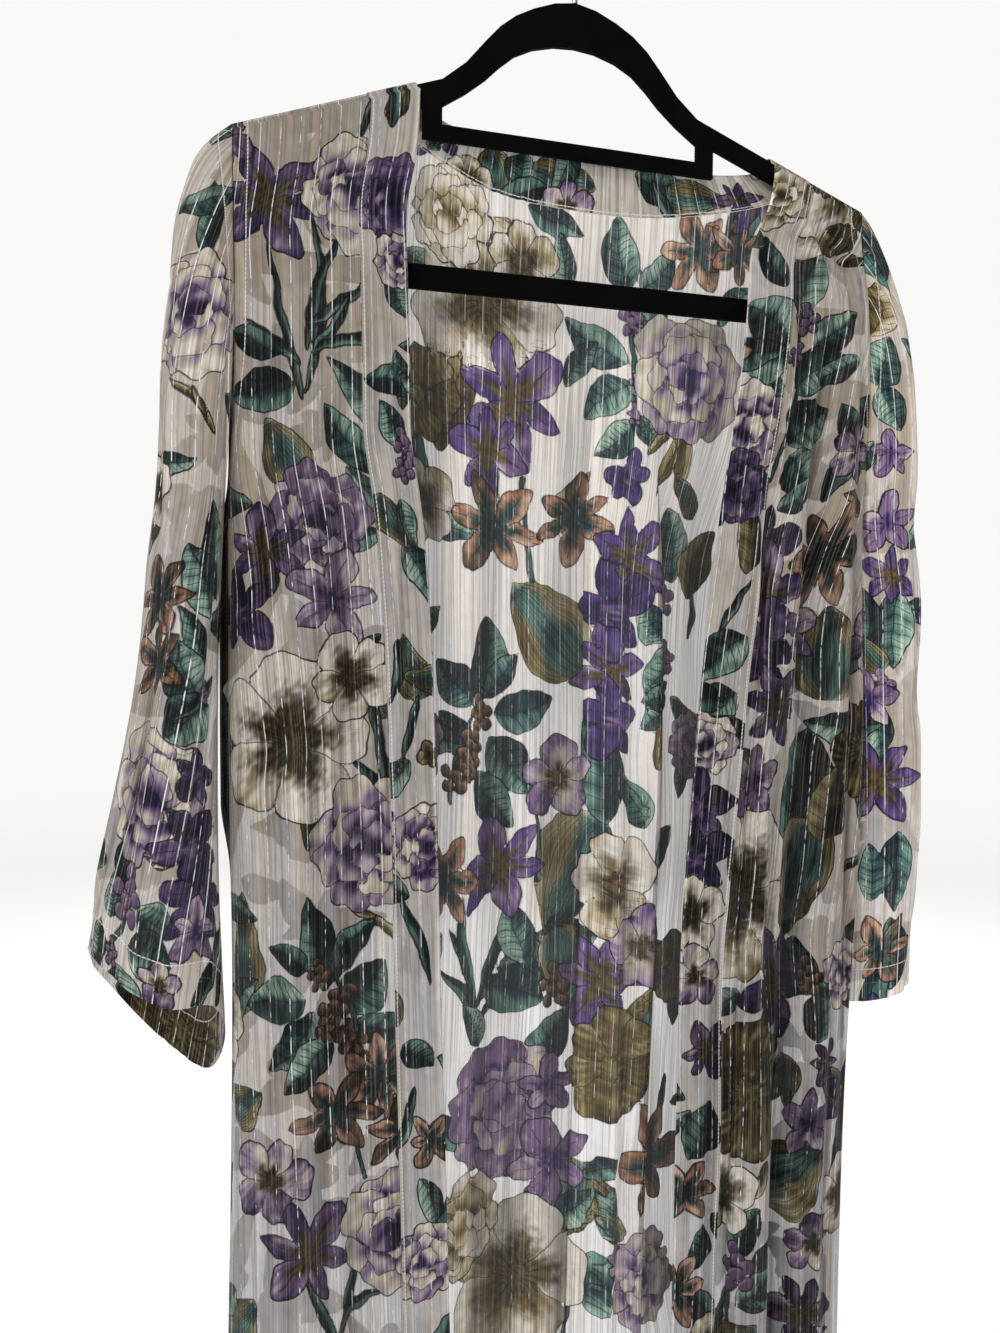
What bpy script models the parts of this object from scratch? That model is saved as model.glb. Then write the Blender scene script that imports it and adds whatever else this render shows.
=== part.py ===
"""Open-front topper jacket in sheer chiffon, hanging on a slim flocked hanger.

Frame: metres, +Z up, +X to the wearer's left, +Y to the wearer's back.
The origin is the point inside the hook that rests on a rail.
"""
import math

import bmesh
import bpy
import numpy as np

# Cloth
WALL = 0.0012            # wall of a single panel
BAND_WALL = 0.0016       # wall of the doubled band
SEAM_GAP = 0.0003        # free space between sewn pieces
BAND_WIDTH = 0.030       # finished width of the front band
HEM_Z = -1.050           # bottom edge of the body
SHOULDER_X = 0.213       # shoulder point, each side
SIDE_ROUND = 0.14        # share of a front panel taken by the turn at the side seam
BACK_ROUND = 0.07        # the same on the back panel
LEVEL_OUT = 0.060        # drop over which cloth leaves the arm for its hanging depth
EDGE_START = 0.70        # share of a front's width where the band starts to hang closer in
BACK_TOP_LIFT = 0.0004   # top of the back above the centre of the turn over the arm

# Hanger
ARM_THICK = 0.0055       # front to back
ARM_CHAMFER = 0.0010
ARM_TOP_Z = -0.1315      # top edge of the arm at ARM_REF_X
ARM_REF_X = 0.101
ARM_SLOPE = 0.366
ARM_HEIGHT = 0.0125      # across the arm and the uprights
HANGER_HALF = 0.220
TIP_RADIUS = 0.025       # outer round where an arm turns down
BAR_TOP_Z = -0.240
BAR_HEIGHT = 0.015
TIE_TOP_Z = -0.154
TIE_HEIGHT = 0.0095
STRUT_IN_X = 0.087
STRUT_OUT_X = 0.099
WINDOW_FOOT_Z = -0.143   # where the arch window meets the strut
TIP_STEPS = 6

# Hook
HOOK_WIRE = 0.0018       # wire radius
HOOK_INNER = 0.0185      # radius of the seat
HOOK_STEM_TOP = -0.052   # where the stem starts to bend
HOOK_SIDES = 10
HOOK_START_ANGLE = -60.0  # degrees round from +X
HOOK_END_ANGLE = 205.0   # free end
HOOK_STEPS = 18
BEND_STEPS = 4

# Cloth over the arm: a half round about the arm's top edge
RIDGE_RADIUS = 0.0048
RIDGE_LIFT = 0.0015
RIDGE_ANGLES = (78.0, 50.0, 20.0, -10.0, -40.0, -70.0)

# Half outline of the hanger's arch, from the middle outwards: x, outer z, inner z
ARCH_ROWS = (
    (0.000, -0.0660, -0.0940),
    (0.014, -0.0685, -0.0952),
    (0.028, -0.0740, -0.0990),
    (0.040, -0.0805, -0.1050),
    (0.050, -0.0885, -0.1135),
    (0.059, -0.0985, -0.1225),
    (0.072, -0.1140, -0.1330),
)

# Body sections: z, right side x, right edge x, left edge x, left side x,
# front depth, front depth at the edge, back depth, half opening at the side
BODY_ROWS = (
    (-0.120, -0.2130, -0.101, 0.145, 0.2130, 0.0048, 0.0048, 0.0048, 0.0048),
    (-0.175, -0.2130, -0.104, 0.140, 0.2130, 0.0090, 0.0075, 0.0095, 0.0048),
    (-0.210, -0.2130, -0.111, 0.124, 0.2130, 0.0160, 0.0110, 0.0130, 0.0100),
    (-0.250, -0.2130, -0.111, 0.119, 0.2130, 0.0220, 0.0150, 0.0180, 0.0150),
    (-0.310, -0.2130, -0.110, 0.111, 0.2130, 0.0250, 0.0190, 0.0220, 0.0160),
    (-0.355, -0.2140, -0.109, 0.103, 0.2130, 0.0265, 0.0210, 0.0240, 0.0090),
    (-0.385, -0.2150, -0.104, 0.098, 0.2135, 0.0270, 0.0220, 0.0250, 0.0002),
    (-0.450, -0.2150, -0.098, 0.090, 0.2150, 0.0280, 0.0230, 0.0270, 0.0002),
    (-0.560, -0.2130, -0.093, 0.080, 0.2180, 0.0290, 0.0240, 0.0290, 0.0002),
    (-0.660, -0.2100, -0.090, 0.073, 0.2140, 0.0300, 0.0250, 0.0300, 0.0002),
    (-0.780, -0.2120, -0.086, 0.071, 0.2090, 0.0300, 0.0255, 0.0310, 0.0002),
    (-0.900, -0.2140, -0.082, 0.070, 0.2060, 0.0305, 0.0260, 0.0320, 0.0002),
    (-1.050, -0.2160, -0.078, 0.070, 0.2070, 0.0310, 0.0260, 0.0330, 0.0002),
)

# Neck band: neck edge x, neck edge z, seam x, seam z (end rows lie on the shoulder seams)
NECK_ROWS = (
    (-0.1010, None, -0.1310, None),
    (-0.0930, -0.1440, -0.1090, -0.1600),
    (-0.0760, -0.1515, -0.0840, -0.1725),
    (-0.0440, -0.1575, -0.0460, -0.1865),
    (0.0050, -0.1610, 0.0050, -0.1910),
    (0.0500, -0.1610, 0.0540, -0.1900),
    (0.0880, -0.1590, 0.0980, -0.1835),
    (0.1200, -0.1560, 0.1360, -0.1750),
    (0.1450, None, 0.1750, None),
)

# Folds: share across the panel, half width, sideways swing, lift, first z, full z
FRONT_RIGHT_FOLDS = (
    (0.36, 0.16, 0.000, 0.0045, -0.230, -0.420),
    (0.74, 0.14, 0.000, -0.0040, -0.260, -0.480),
)
FRONT_LEFT_FOLDS = (
    (0.30, 0.15, 0.000, 0.0060, -0.200, -0.330),
    (0.55, 0.12, 0.000, -0.0060, -0.210, -0.340),
    (0.80, 0.13, 0.006, 0.0110, -0.300, -0.460),
)
BACK_FOLDS = (
    (0.16, 0.060, 0.000, 0.0070, -0.260, -0.480),
    (0.345, 0.050, 0.000, -0.0085, -0.240, -0.420),
    (0.615, 0.060, 0.010, -0.0140, -0.250, -0.430),
    (0.76, 0.060, 0.000, 0.0080, -0.260, -0.480),
    (0.89, 0.040, 0.000, -0.0060, -0.300, -0.500),
)

# Sleeve sections: z, outer x, inner x, bulge, centre y, tilt out, tilt back
SLEEVE_RIGHT_ROWS = (
    (-0.1795, 0.2235, 0.2140, 0.0015, 0.000, 0.000, 0.000),
    (-0.190, 0.2325, 0.2145, 0.0040, 0.000, 0.000, 0.000),
    (-0.212, 0.2410, 0.2145, 0.0090, 0.000, 0.000, 0.000),
    (-0.245, 0.2475, 0.2145, 0.0150, 0.000, 0.000, 0.000),
    (-0.290, 0.2515, 0.2147, 0.0220, 0.000, 0.000, 0.000),
    (-0.340, 0.2540, 0.2155, 0.0290, 0.001, 0.000, 0.000),
    (-0.385, 0.2560, 0.2168, 0.0340, 0.002, 0.000, 0.000),
    (-0.435, 0.2610, 0.2190, 0.0380, 0.003, 0.001, 0.001),
    (-0.490, 0.2660, 0.2205, 0.0410, 0.005, 0.004, 0.003),
    (-0.545, 0.2735, 0.2205, 0.0420, 0.006, 0.010, 0.008),
    (-0.600, 0.2830, 0.2190, 0.0420, 0.007, 0.020, 0.014),
    (-0.645, 0.2905, 0.2165, 0.0420, 0.008, 0.027, 0.018),
    (-0.684, 0.2950, 0.2150, 0.0420, 0.008, 0.032, 0.020),
)
SLEEVE_LEFT_ROWS = (
    (-0.1795, 0.2225, 0.2140, 0.0015, 0.000, 0.000, 0.000),
    (-0.190, 0.2290, 0.2145, 0.0040, 0.000, 0.000, 0.000),
    (-0.212, 0.2385, 0.2145, 0.0080, 0.000, 0.000, 0.000),
    (-0.245, 0.2500, 0.2145, 0.0120, 0.000, 0.000, 0.000),
    (-0.290, 0.2550, 0.2147, 0.0160, 0.000, 0.000, 0.000),
    (-0.340, 0.2580, 0.2150, 0.0200, 0.001, 0.000, 0.000),
    (-0.385, 0.2610, 0.2153, 0.0240, 0.002, 0.000, 0.000),
    (-0.440, 0.2650, 0.2175, 0.0260, 0.003, 0.000, 0.000),
    (-0.500, 0.2660, 0.2200, 0.0270, 0.004, 0.001, 0.001),
    (-0.560, 0.2670, 0.2205, 0.0280, 0.004, 0.002, 0.002),
    (-0.620, 0.2670, 0.2195, 0.0290, 0.005, 0.003, 0.003),
    (-0.675, 0.2660, 0.2180, 0.0290, 0.005, 0.004, 0.004),
    (-0.722, 0.2650, 0.2175, 0.0290, 0.005, 0.005, 0.005),
)

# Grid sizes
FRONT_STEPS = 10         # columns of a front between the side turn and the band
BAND_STEPS = 2           # columns across a band
BODY_LEVELS = 16         # rows from the shoulder to the hem
NECK_STEPS = 32          # columns round the back neck
SHOULDER_STEPS = 3       # columns of the back along each shoulder
SLEEVE_COLUMNS = 17
LEVEL_POWER = 1.25       # body rows lie closer together near the shoulder
SIDE_STEPS = (0.0, 0.03, 0.12, 0.30, 0.60, 1.0)  # shares of the turn at a side seam

body = np.array(BODY_ROWS)
neck = np.array([[math.nan if cell is None else cell for cell in row] for row in NECK_ROWS])


def body_size(column, z):
    """Straight-line reading of one column of the body table at height z."""
    return np.interp(-z, -body[:, 0], body[:, column])


def ease(share):
    """Smooth step from 0 to 1."""
    share = np.clip(share, 0.0, 1.0)
    return share * share * (3.0 - 2.0 * share)


def arm_top(x):
    """Top edge of the hanger's arm."""
    return ARM_TOP_Z - ARM_SLOPE * (np.abs(x) - ARM_REF_X)


def ridge_centre(x):
    """Height of the centre that the cloth turns about as it passes over the arm."""
    return arm_top(np.maximum(np.abs(x), STRUT_IN_X)) + RIDGE_LIFT - RIDGE_RADIUS


def hang_share(x, z):
    """0 on the arm, 1 once the cloth hangs at its full depth."""
    return ease((ridge_centre(x) - z) / LEVEL_OUT)


def off_arm(depth, x, z):
    """Depth of hanging cloth, drawn in to the arm near the shoulder."""
    return RIDGE_RADIUS + (depth - RIDGE_RADIUS) * hang_share(x, z)


def turn(share):
    """Quarter-round rise of a panel away from its side seam."""
    return np.sqrt(1.0 - (1.0 - np.clip(share, 0.0, 1.0)) ** 2)


def folds_at(rows, share, z):
    """Sideways swing and lift of a panel's folds."""
    swing = np.zeros_like(share)
    lift = np.zeros_like(share)
    for centre, half, side, rise, first_z, full_z in rows:
        place = np.clip((share - centre) / half, -1.0, 1.0)
        grown = ease((first_z - z) / (first_z - full_z))
        lift = lift + rise * grown * 0.5 * (1.0 + np.cos(math.pi * place))
        swing = swing + side * grown * np.sin(math.pi * place)
    return swing, lift


def levels_to_hem(top):
    """Heights from a top edge down to the hem, one row per level."""
    shares = np.linspace(0.0, 1.0, BODY_LEVELS) ** LEVEL_POWER
    return top[None, :] + (HEM_Z - top[None, :]) * shares[:, None]


def front_surface(sign, share, z, rows):
    """Point of a front and its band: share 0 at the side seam, 1 at the front edge."""
    side_x = body_size(1 if sign < 0 else 4, z)
    edge_x = body_size(2 if sign < 0 else 3, z)
    seam = 1.0 - BAND_WIDTH / np.abs(edge_x - side_x)
    swing, lift = folds_at(rows, share / seam, z)
    x = side_x + (edge_x - side_x) * share - sign * swing
    opening = body_size(8, z)
    full = body_size(5, z)
    depth = opening + (full - opening) * turn(share / SIDE_ROUND)
    depth = depth + (body_size(6, z) - full) * ease((share - EDGE_START) / (1.0 - EDGE_START))
    return np.stack([x, -off_arm(depth + lift, x, z), z], axis=-1)


def front_grid(sign, rows, is_band):
    """Rows from the shoulder seam behind the arm, over it and down to the hem."""
    side_x = sign * SHOULDER_X

    def shares_at(z):
        edge_x = body_size(2 if sign < 0 else 3, z)
        width = np.abs(edge_x - body_size(1 if sign < 0 else 4, z))
        seam = 1.0 - BAND_WIDTH / width
        if is_band:
            return seam + (1.0 - seam) * steps
        inner = seam - SEAM_GAP / width
        return np.where(steps <= 1.0, SIDE_ROUND * steps, SIDE_ROUND + (inner - SIDE_ROUND) * (steps - 1.0))

    if is_band:
        steps = np.linspace(0.0, 1.0, BAND_STEPS + 1)
    else:
        across = np.linspace(0.0, 1.0, FRONT_STEPS + 1)[1:]
        steps = np.concatenate([SIDE_STEPS, 1.0 + across])
    top_z = arm_top(SHOULDER_X)
    shares = shares_at(np.full_like(steps, top_z))
    edge_x = body_size(2 if sign < 0 else 3, top_z)
    top_x = side_x + (edge_x - side_x) * shares
    centre = ridge_centre(top_x)
    grid = []
    for angle in np.radians(RIDGE_ANGLES):
        y = np.full_like(top_x, RIDGE_RADIUS * math.sin(angle))
        grid.append(np.stack([top_x, y, centre + RIDGE_RADIUS * math.cos(angle)], axis=-1))
    for z in levels_to_hem(centre):
        grid.append(front_surface(sign, shares_at(z), z, rows))
    return np.array(grid)


def back_surface(share, z):
    """Point of the back: share 0 at the wearer's right side seam, 1 at the left."""
    side_right = body_size(1, z)
    side_left = body_size(4, z)
    swing, lift = folds_at(BACK_FOLDS, share, z)
    x = side_right + (side_left - side_right) * share + swing
    opening = body_size(8, z)
    from_side = np.minimum(share, 1.0 - share)
    depth = opening + (body_size(7, z) - opening) * turn(from_side / BACK_ROUND)
    return np.stack([x, off_arm(depth + lift, x, z), z], axis=-1)


def back_share(x):
    """Share across the back at the shoulders, where the panel is as wide as they are."""
    return (x + SHOULDER_X) / (2.0 * SHOULDER_X)


def neck_line():
    """Neck edge and seam of the back-neck band: columns x, z, x, z along the band."""
    rows = neck.copy()
    for end in (0, -1):
        rows[end, 1] = ridge_centre(rows[end, 0]) + BACK_TOP_LIFT
        rows[end, 3] = ridge_centre(rows[end, 2]) + BACK_TOP_LIFT
    keys = np.arange(len(rows))
    along = np.linspace(0.0, len(rows) - 1.0, NECK_STEPS + 1)
    slopes = np.gradient(rows, axis=0)
    cell = np.minimum(along.astype(int), len(rows) - 2)
    part = (along - keys[cell])[:, None]
    start = rows[cell]
    finish = rows[cell + 1]
    blend = part * part * (3.0 - 2.0 * part)
    ease_in = part * (1.0 - part) ** 2
    ease_out = part * part * (1.0 - part)
    return start + (finish - start) * blend + slopes[cell] * ease_in - slopes[cell + 1] * ease_out


def neck_grid():
    """Band from the neck edge to its seam, on the back's surface."""
    line = neck_line()
    grid = []
    for across in np.linspace(0.0, 1.0, BAND_STEPS + 1):
        x = line[:, 0] + (line[:, 2] - line[:, 0]) * across
        z = line[:, 1] + (line[:, 3] - line[:, 1]) * across
        grid.append(back_surface(back_share(x), z))
    return np.array(grid)


def back_grid():
    """Back panel from the shoulder and neck seams to the hem."""
    line = neck_line()
    reach = line[:, 2:4] - line[:, 0:2]
    reach = reach / np.linalg.norm(reach, axis=1, keepdims=True)
    seam = line[:, 2:4] + reach * SEAM_GAP
    turned = np.array(SIDE_STEPS) * BACK_ROUND * 2.0 * SHOULDER_X
    right = np.linspace(-SHOULDER_X + turned[-1], seam[0, 0], SHOULDER_STEPS + 1)[1:-1]
    left = np.linspace(seam[-1, 0], SHOULDER_X - turned[-1], SHOULDER_STEPS + 1)[1:-1]
    right = np.concatenate([-SHOULDER_X + turned, right])
    left = np.concatenate([left, SHOULDER_X - turned[::-1]])
    x = np.concatenate([right, seam[:, 0], left])
    lift = BACK_TOP_LIFT
    top = np.concatenate([ridge_centre(right) + lift, seam[:, 1], ridge_centre(left) + lift])
    return np.array([back_surface(back_share(x), z) for z in levels_to_hem(top)])


def sleeve_grid(sign, rows):
    """Sleeve from its seam over the arm's end to the cuff, open along the underarm seam."""
    around = np.linspace(-1.0, 1.0, SLEEVE_COLUMNS)
    side_x = sign * SHOULDER_X
    angle = around * math.pi / 2.0
    out = np.cos(math.pi * around)
    back = np.sin(math.pi * around)
    cap_x = np.full_like(around, side_x + sign * SEAM_GAP)
    cap_z = ridge_centre(side_x) + RIDGE_RADIUS * np.cos(angle)
    grid = [np.stack([cap_x, RIDGE_RADIUS * np.sin(angle), cap_z], axis=-1)]
    for z, outer_x, inner_x, bulge, centre_y, tilt_out, tilt_back in rows:
        x = sign * (inner_x + (outer_x - inner_x) * 0.5 * (1.0 + out))
        opening = off_arm(body_size(8, z), side_x, z)
        y = opening * around + bulge * back + centre_y * (1.0 - around * around)
        grid.append(np.stack([x, y, z + tilt_out * out - tilt_back * back], axis=-1))
    return np.array(grid)


def finish_object(name, mesh, material):
    """Link a mesh as one named object with its own material."""
    part = bpy.data.objects.new(name, mesh)
    bpy.context.scene.collection.objects.link(part)
    mesh.materials.append(material)
    return part


def finish(name, colour, roughness, metallic):
    """A plain surface."""
    material = bpy.data.materials.new(name)
    material.use_nodes = True
    shader = material.node_tree.nodes["Principled BSDF"]
    shader.inputs["Base Color"].default_value = (*colour, 1.0)
    shader.inputs["Roughness"].default_value = roughness
    shader.inputs["Metallic"].default_value = metallic
    return material


def cloth_piece(name, grid, wall, material):
    """A wall of even thickness about a grid of points."""
    row_count, column_count = grid.shape[:2]
    index = np.arange(row_count * column_count).reshape(row_count, column_count)
    corners = (index[:-1, :-1], index[:-1, 1:], index[1:, 1:], index[1:, :-1])
    faces = np.stack(corners, axis=-1).reshape(-1, 4)
    mesh = bpy.data.meshes.new(name)
    mesh.from_pydata(grid.reshape(-1, 3).tolist(), [], faces.tolist())
    part = finish_object(name, mesh, material)
    thicken = part.modifiers.new("wall", "SOLIDIFY")
    thicken.thickness = wall
    thicken.offset = 0.0
    thicken.use_even_offset = True
    thicken.use_quality_normals = True


def inset(loop, distance):
    """A closed outline moved to its left by a distance."""
    before = loop - np.roll(loop, 1, axis=0)
    after = np.roll(loop, -1, axis=0) - loop
    before = before / np.linalg.norm(before, axis=1, keepdims=True)
    after = after / np.linalg.norm(after, axis=1, keepdims=True)
    bisector = np.stack([-(before + after)[:, 1], (before + after)[:, 0]], axis=-1)
    scale = 2.0 / np.sum(bisector * bisector, axis=1, keepdims=True)
    return loop + bisector * scale * distance


def mirrored(half):
    """A closed outline from its half on +X, listed from the middle round to the middle."""
    half = np.array(half)
    other = half[::-1] * np.array([-1.0, 1.0])
    return np.concatenate([half, other[other[:, 0] < 0.0]])


def hanger_outlines():
    """Outline and two windows of the hanger, each with the solid on its left."""
    lean = math.atan(ARM_SLOPE)
    tip_x = HANGER_HALF - TIP_RADIUS
    start_x = tip_x + TIP_RADIUS * math.sin(lean)
    tip_z = arm_top(start_x) - TIP_RADIUS * math.cos(lean)
    angles = np.linspace(math.pi / 2.0 - lean, 0.0, TIP_STEPS)
    arcs = [np.stack([tip_x + r * np.cos(angles), tip_z + r * np.sin(angles)], axis=-1).tolist()
            for r in (TIP_RADIUS, TIP_RADIUS - ARM_HEIGHT)]
    arch = np.array(ARCH_ROWS)
    under = arm_top(STRUT_OUT_X) - ARM_HEIGHT / math.cos(lean)
    outer = arch[:, :2].tolist()
    outer += [[STRUT_IN_X, arm_top(STRUT_IN_X)]] + arcs[0]
    outer += [[HANGER_HALF, BAR_TOP_Z - BAR_HEIGHT], [0.0, BAR_TOP_Z - BAR_HEIGHT]]
    arch_window = arch[:, [0, 2]].tolist()
    arch_window += [[STRUT_IN_X, WINDOW_FOOT_Z], [STRUT_IN_X, TIE_TOP_Z], [0.0, TIE_TOP_Z]]
    main_window = [[0.0, TIE_TOP_Z - TIE_HEIGHT], [STRUT_OUT_X, TIE_TOP_Z - TIE_HEIGHT], [STRUT_OUT_X, under]]
    main_window += arcs[1] + [[HANGER_HALF - ARM_HEIGHT, BAR_TOP_Z], [0.0, BAR_TOP_Z]]
    return [mirrored(outer)[::-1], mirrored(arch_window), mirrored(main_window)]


def hanger_frame(name, material):
    """Flat frame with chamfered edges, filled between its outline and its windows."""
    shape = bmesh.new()
    half = ARM_THICK / 2.0
    layers = ((-half, ARM_CHAMFER), (ARM_CHAMFER - half, 0.0), (half - ARM_CHAMFER, 0.0), (half, ARM_CHAMFER))
    cap_edges = ([], [])
    for outline in hanger_outlines():
        rings = []
        for y, distance in layers:
            points = inset(outline, distance)
            rings.append([shape.verts.new((x, y, z)) for x, z in points])
        count = len(outline)
        for low, high in zip(rings[:-1], rings[1:]):
            for k in range(count):
                shape.faces.new((low[k], low[(k + 1) % count], high[(k + 1) % count], high[k]))
        for edges, ring in zip(cap_edges, (rings[0], rings[-1])):
            edges += [shape.edges.get((ring[k], ring[(k + 1) % count])) for k in range(count)]
    for edges in cap_edges:
        bmesh.ops.triangle_fill(shape, use_beauty=True, use_dissolve=False, edges=edges)
    bmesh.ops.recalc_face_normals(shape, faces=shape.faces)
    mesh = bpy.data.meshes.new(name)
    shape.to_mesh(mesh)
    shape.free()
    finish_object(name, mesh, material)


def hook_path():
    """Middle line of the hook in X and Z: stem, bend and seat."""
    radius = HOOK_INNER + HOOK_WIRE
    centre_z = -HOOK_INNER
    angles = np.radians(np.linspace(HOOK_START_ANGLE, HOOK_END_ANGLE, HOOK_STEPS + 1))
    seat = np.stack([radius * np.cos(angles), centre_z + radius * np.sin(angles)], axis=-1)
    heading = np.array([-math.sin(angles[0]), math.cos(angles[0])])
    knee = seat[0] - heading * seat[0, 0] / heading[0]
    stem_top = np.array([0.0, HOOK_STEM_TOP])
    part = np.linspace(0.0, 1.0, BEND_STEPS + 1)[:-1, None]
    bend = (1.0 - part) ** 2 * stem_top + 2.0 * part * (1.0 - part) * knee + part ** 2 * seat[0]
    foot = np.array([[0.0, ARCH_ROWS[0][1] + SEAM_GAP]])
    return np.concatenate([foot, bend, seat])


def hook(name, material):
    """Round wire along the hook's middle line."""
    path = hook_path()
    heading = np.gradient(path, axis=0)
    heading = heading / np.linalg.norm(heading, axis=1, keepdims=True)
    shape = bmesh.new()
    rings = []
    for (x, z), (along_x, along_z) in zip(path, heading):
        ring = []
        for k in range(HOOK_SIDES):
            angle = 2.0 * math.pi * k / HOOK_SIDES
            side = HOOK_WIRE * math.cos(angle)
            across = HOOK_WIRE * math.sin(angle)
            ring.append(shape.verts.new((x + side * along_z, across, z - side * along_x)))
        rings.append(ring)
    for low, high in zip(rings[:-1], rings[1:]):
        for k in range(HOOK_SIDES):
            after = (k + 1) % HOOK_SIDES
            shape.faces.new((low[k], low[after], high[after], high[k]))
    shape.faces.new(rings[0])
    shape.faces.new(rings[-1])
    bmesh.ops.recalc_face_normals(shape, faces=shape.faces)
    mesh = bpy.data.meshes.new(name)
    shape.to_mesh(mesh)
    shape.free()
    finish_object(name, mesh, material)


for old in list(bpy.data.objects):
    bpy.data.objects.remove(old, do_unlink=True)

cloth_piece("back", back_grid(), WALL, finish("chiffon_back", (0.58, 0.55, 0.53), 0.75, 0.0))
cloth_piece("band_neck", neck_grid(), BAND_WALL, finish("band_back_neck", (0.62, 0.58, 0.55), 0.75, 0.0))
for side, sign, front_folds, sleeve_rows in (
        ("right", -1.0, FRONT_RIGHT_FOLDS, SLEEVE_RIGHT_ROWS),
        ("left", 1.0, FRONT_LEFT_FOLDS, SLEEVE_LEFT_ROWS)):
    panel = finish("chiffon_front_" + side, (0.56, 0.53, 0.53), 0.75, 0.0)
    cloth_piece("front_" + side, front_grid(sign, front_folds, False), WALL, panel)
    strip = finish("band_front_" + side, (0.62, 0.58, 0.56), 0.75, 0.0)
    cloth_piece("band_" + side, front_grid(sign, front_folds, True), BAND_WALL, strip)
    tube = finish("chiffon_sleeve_" + side, (0.55, 0.52, 0.50), 0.75, 0.0)
    cloth_piece("sleeve_" + side, sleeve_grid(sign, sleeve_rows), WALL, tube)
hanger_frame("hanger_frame", finish("black_velvet", (0.012, 0.012, 0.013), 0.95, 0.0))
hook("hanger_hook", finish("bright_steel", (0.62, 0.62, 0.63), 0.22, 1.0))
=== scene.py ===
import math

import bpy
import numpy as np
from mathutils import Matrix


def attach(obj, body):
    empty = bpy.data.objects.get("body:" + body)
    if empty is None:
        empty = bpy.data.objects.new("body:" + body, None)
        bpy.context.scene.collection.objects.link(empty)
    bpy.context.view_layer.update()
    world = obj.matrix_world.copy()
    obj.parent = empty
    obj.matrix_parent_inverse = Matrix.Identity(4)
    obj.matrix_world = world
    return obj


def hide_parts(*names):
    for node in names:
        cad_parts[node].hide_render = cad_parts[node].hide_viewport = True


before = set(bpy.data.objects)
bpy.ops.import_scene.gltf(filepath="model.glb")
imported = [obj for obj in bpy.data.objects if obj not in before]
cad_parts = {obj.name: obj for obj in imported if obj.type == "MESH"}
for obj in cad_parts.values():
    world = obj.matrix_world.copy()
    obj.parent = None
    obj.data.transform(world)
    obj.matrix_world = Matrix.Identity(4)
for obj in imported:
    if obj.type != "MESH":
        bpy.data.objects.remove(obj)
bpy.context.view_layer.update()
print("frame loaded")

# sizes shared by the pieces, in metres and degrees: x to the wearer's left, y to the back, z up
jacket = {
    "hemZ": -1.050, "shoulderX": 0.213, "bandWidth": 0.030, "seamGap": 0.0003,
    "sideRound": 0.14, "backRound": 0.07, "levelOut": 0.060, "edgeStart": 0.70,
    "ridgeRadius": 0.0048, "ridgeLift": 0.0015, "backTopLift": 0.0004,
    "armTopZ": -0.1315, "armRefX": 0.101, "armSlope": 0.366, "strutInX": 0.087,
    "arcFrom": 78.0, "arcTo": -90.0, "leastOpening": 0.0002,
    "bandPush": 0.0005, "bandTurn": 0.04, "neckTurn": 0.05,
    "creaseScale": 1.7, "creaseBow": 0.35, "creaseFade": 0.25, "crinkle": 0.00038,
    "backCrinkle": 0.00040, "backShift": 0.013, "looseFront": 0.10, "looseBack": 0.04,
    "sideRoll": 0.0090, "rollTopZ": -0.365, "rollFootZ": -0.62, "rollFade": 0.05,
    "cuffDrop": 0.52, "cuffFade": 0.16,
}
# millimetres in a metre, and drops below the origin in millimetres
millis = 1000.0
drops = {"hem": -millis * jacket["hemZ"], "neckEdge": 161.0, "sleeveTop": 171.0}

# z, right side x, right edge x, left edge x, left side x,
# front depth, front depth at the edge, back depth, half opening at the side
bodyRows = np.array((
    (-0.120, -0.2130, -0.101, 0.145, 0.2130, 0.0048, 0.0048, 0.0048, 0.0048),
    (-0.175, -0.2130, -0.104, 0.140, 0.2130, 0.0090, 0.0075, 0.0095, 0.0048),
    (-0.210, -0.2130, -0.111, 0.124, 0.2130, 0.0160, 0.0110, 0.0130, 0.0100),
    (-0.250, -0.2130, -0.111, 0.119, 0.2130, 0.0220, 0.0150, 0.0180, 0.0150),
    (-0.310, -0.2130, -0.110, 0.111, 0.2130, 0.0250, 0.0190, 0.0220, 0.0160),
    (-0.355, -0.2140, -0.109, 0.103, 0.2130, 0.0265, 0.0210, 0.0240, 0.0090),
    (-0.385, -0.2150, -0.104, 0.098, 0.2135, 0.0270, 0.0220, 0.0250, 0.0002),
    (-0.450, -0.2150, -0.098, 0.090, 0.2150, 0.0280, 0.0230, 0.0270, 0.0002),
    (-0.560, -0.2142, -0.093, 0.080, 0.2180, 0.0290, 0.0240, 0.0290, 0.0002),
    (-0.660, -0.2122, -0.090, 0.073, 0.2140, 0.0300, 0.0250, 0.0300, 0.0002),
    (-0.780, -0.2124, -0.086, 0.071, 0.2090, 0.0300, 0.0255, 0.0310, 0.0002),
    (-0.900, -0.2140, -0.082, 0.070, 0.2060, 0.0305, 0.0260, 0.0320, 0.0002),
    (-1.050, -0.2160, -0.078, 0.070, 0.2070, 0.0310, 0.0260, 0.0330, 0.0002),
))

# columns of that table by name
bodyColumns = {"rightSide": 1, "rightEdge": 2, "leftEdge": 3, "leftSide": 4,
               "frontDepth": 5, "edgeDepth": 6, "backDepth": 7, "opening": 8}

# neck edge x, neck edge z, seam x, seam z; the end rows lie on the shoulder seams
neckRows = np.array((
    (-0.1010, 0.0, -0.1310, 0.0),
    (-0.0930, -0.1440, -0.1090, -0.1600),
    (-0.0760, -0.1515, -0.0840, -0.1725),
    (-0.0440, -0.1575, -0.0460, -0.1865),
    (0.0050, -0.1610, 0.0050, -0.1910),
    (0.0500, -0.1610, 0.0540, -0.1900),
    (0.0880, -0.1590, 0.0980, -0.1835),
    (0.1200, -0.1560, 0.1360, -0.1750),
    (0.1450, 0.0, 0.1750, 0.0),
))

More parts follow.
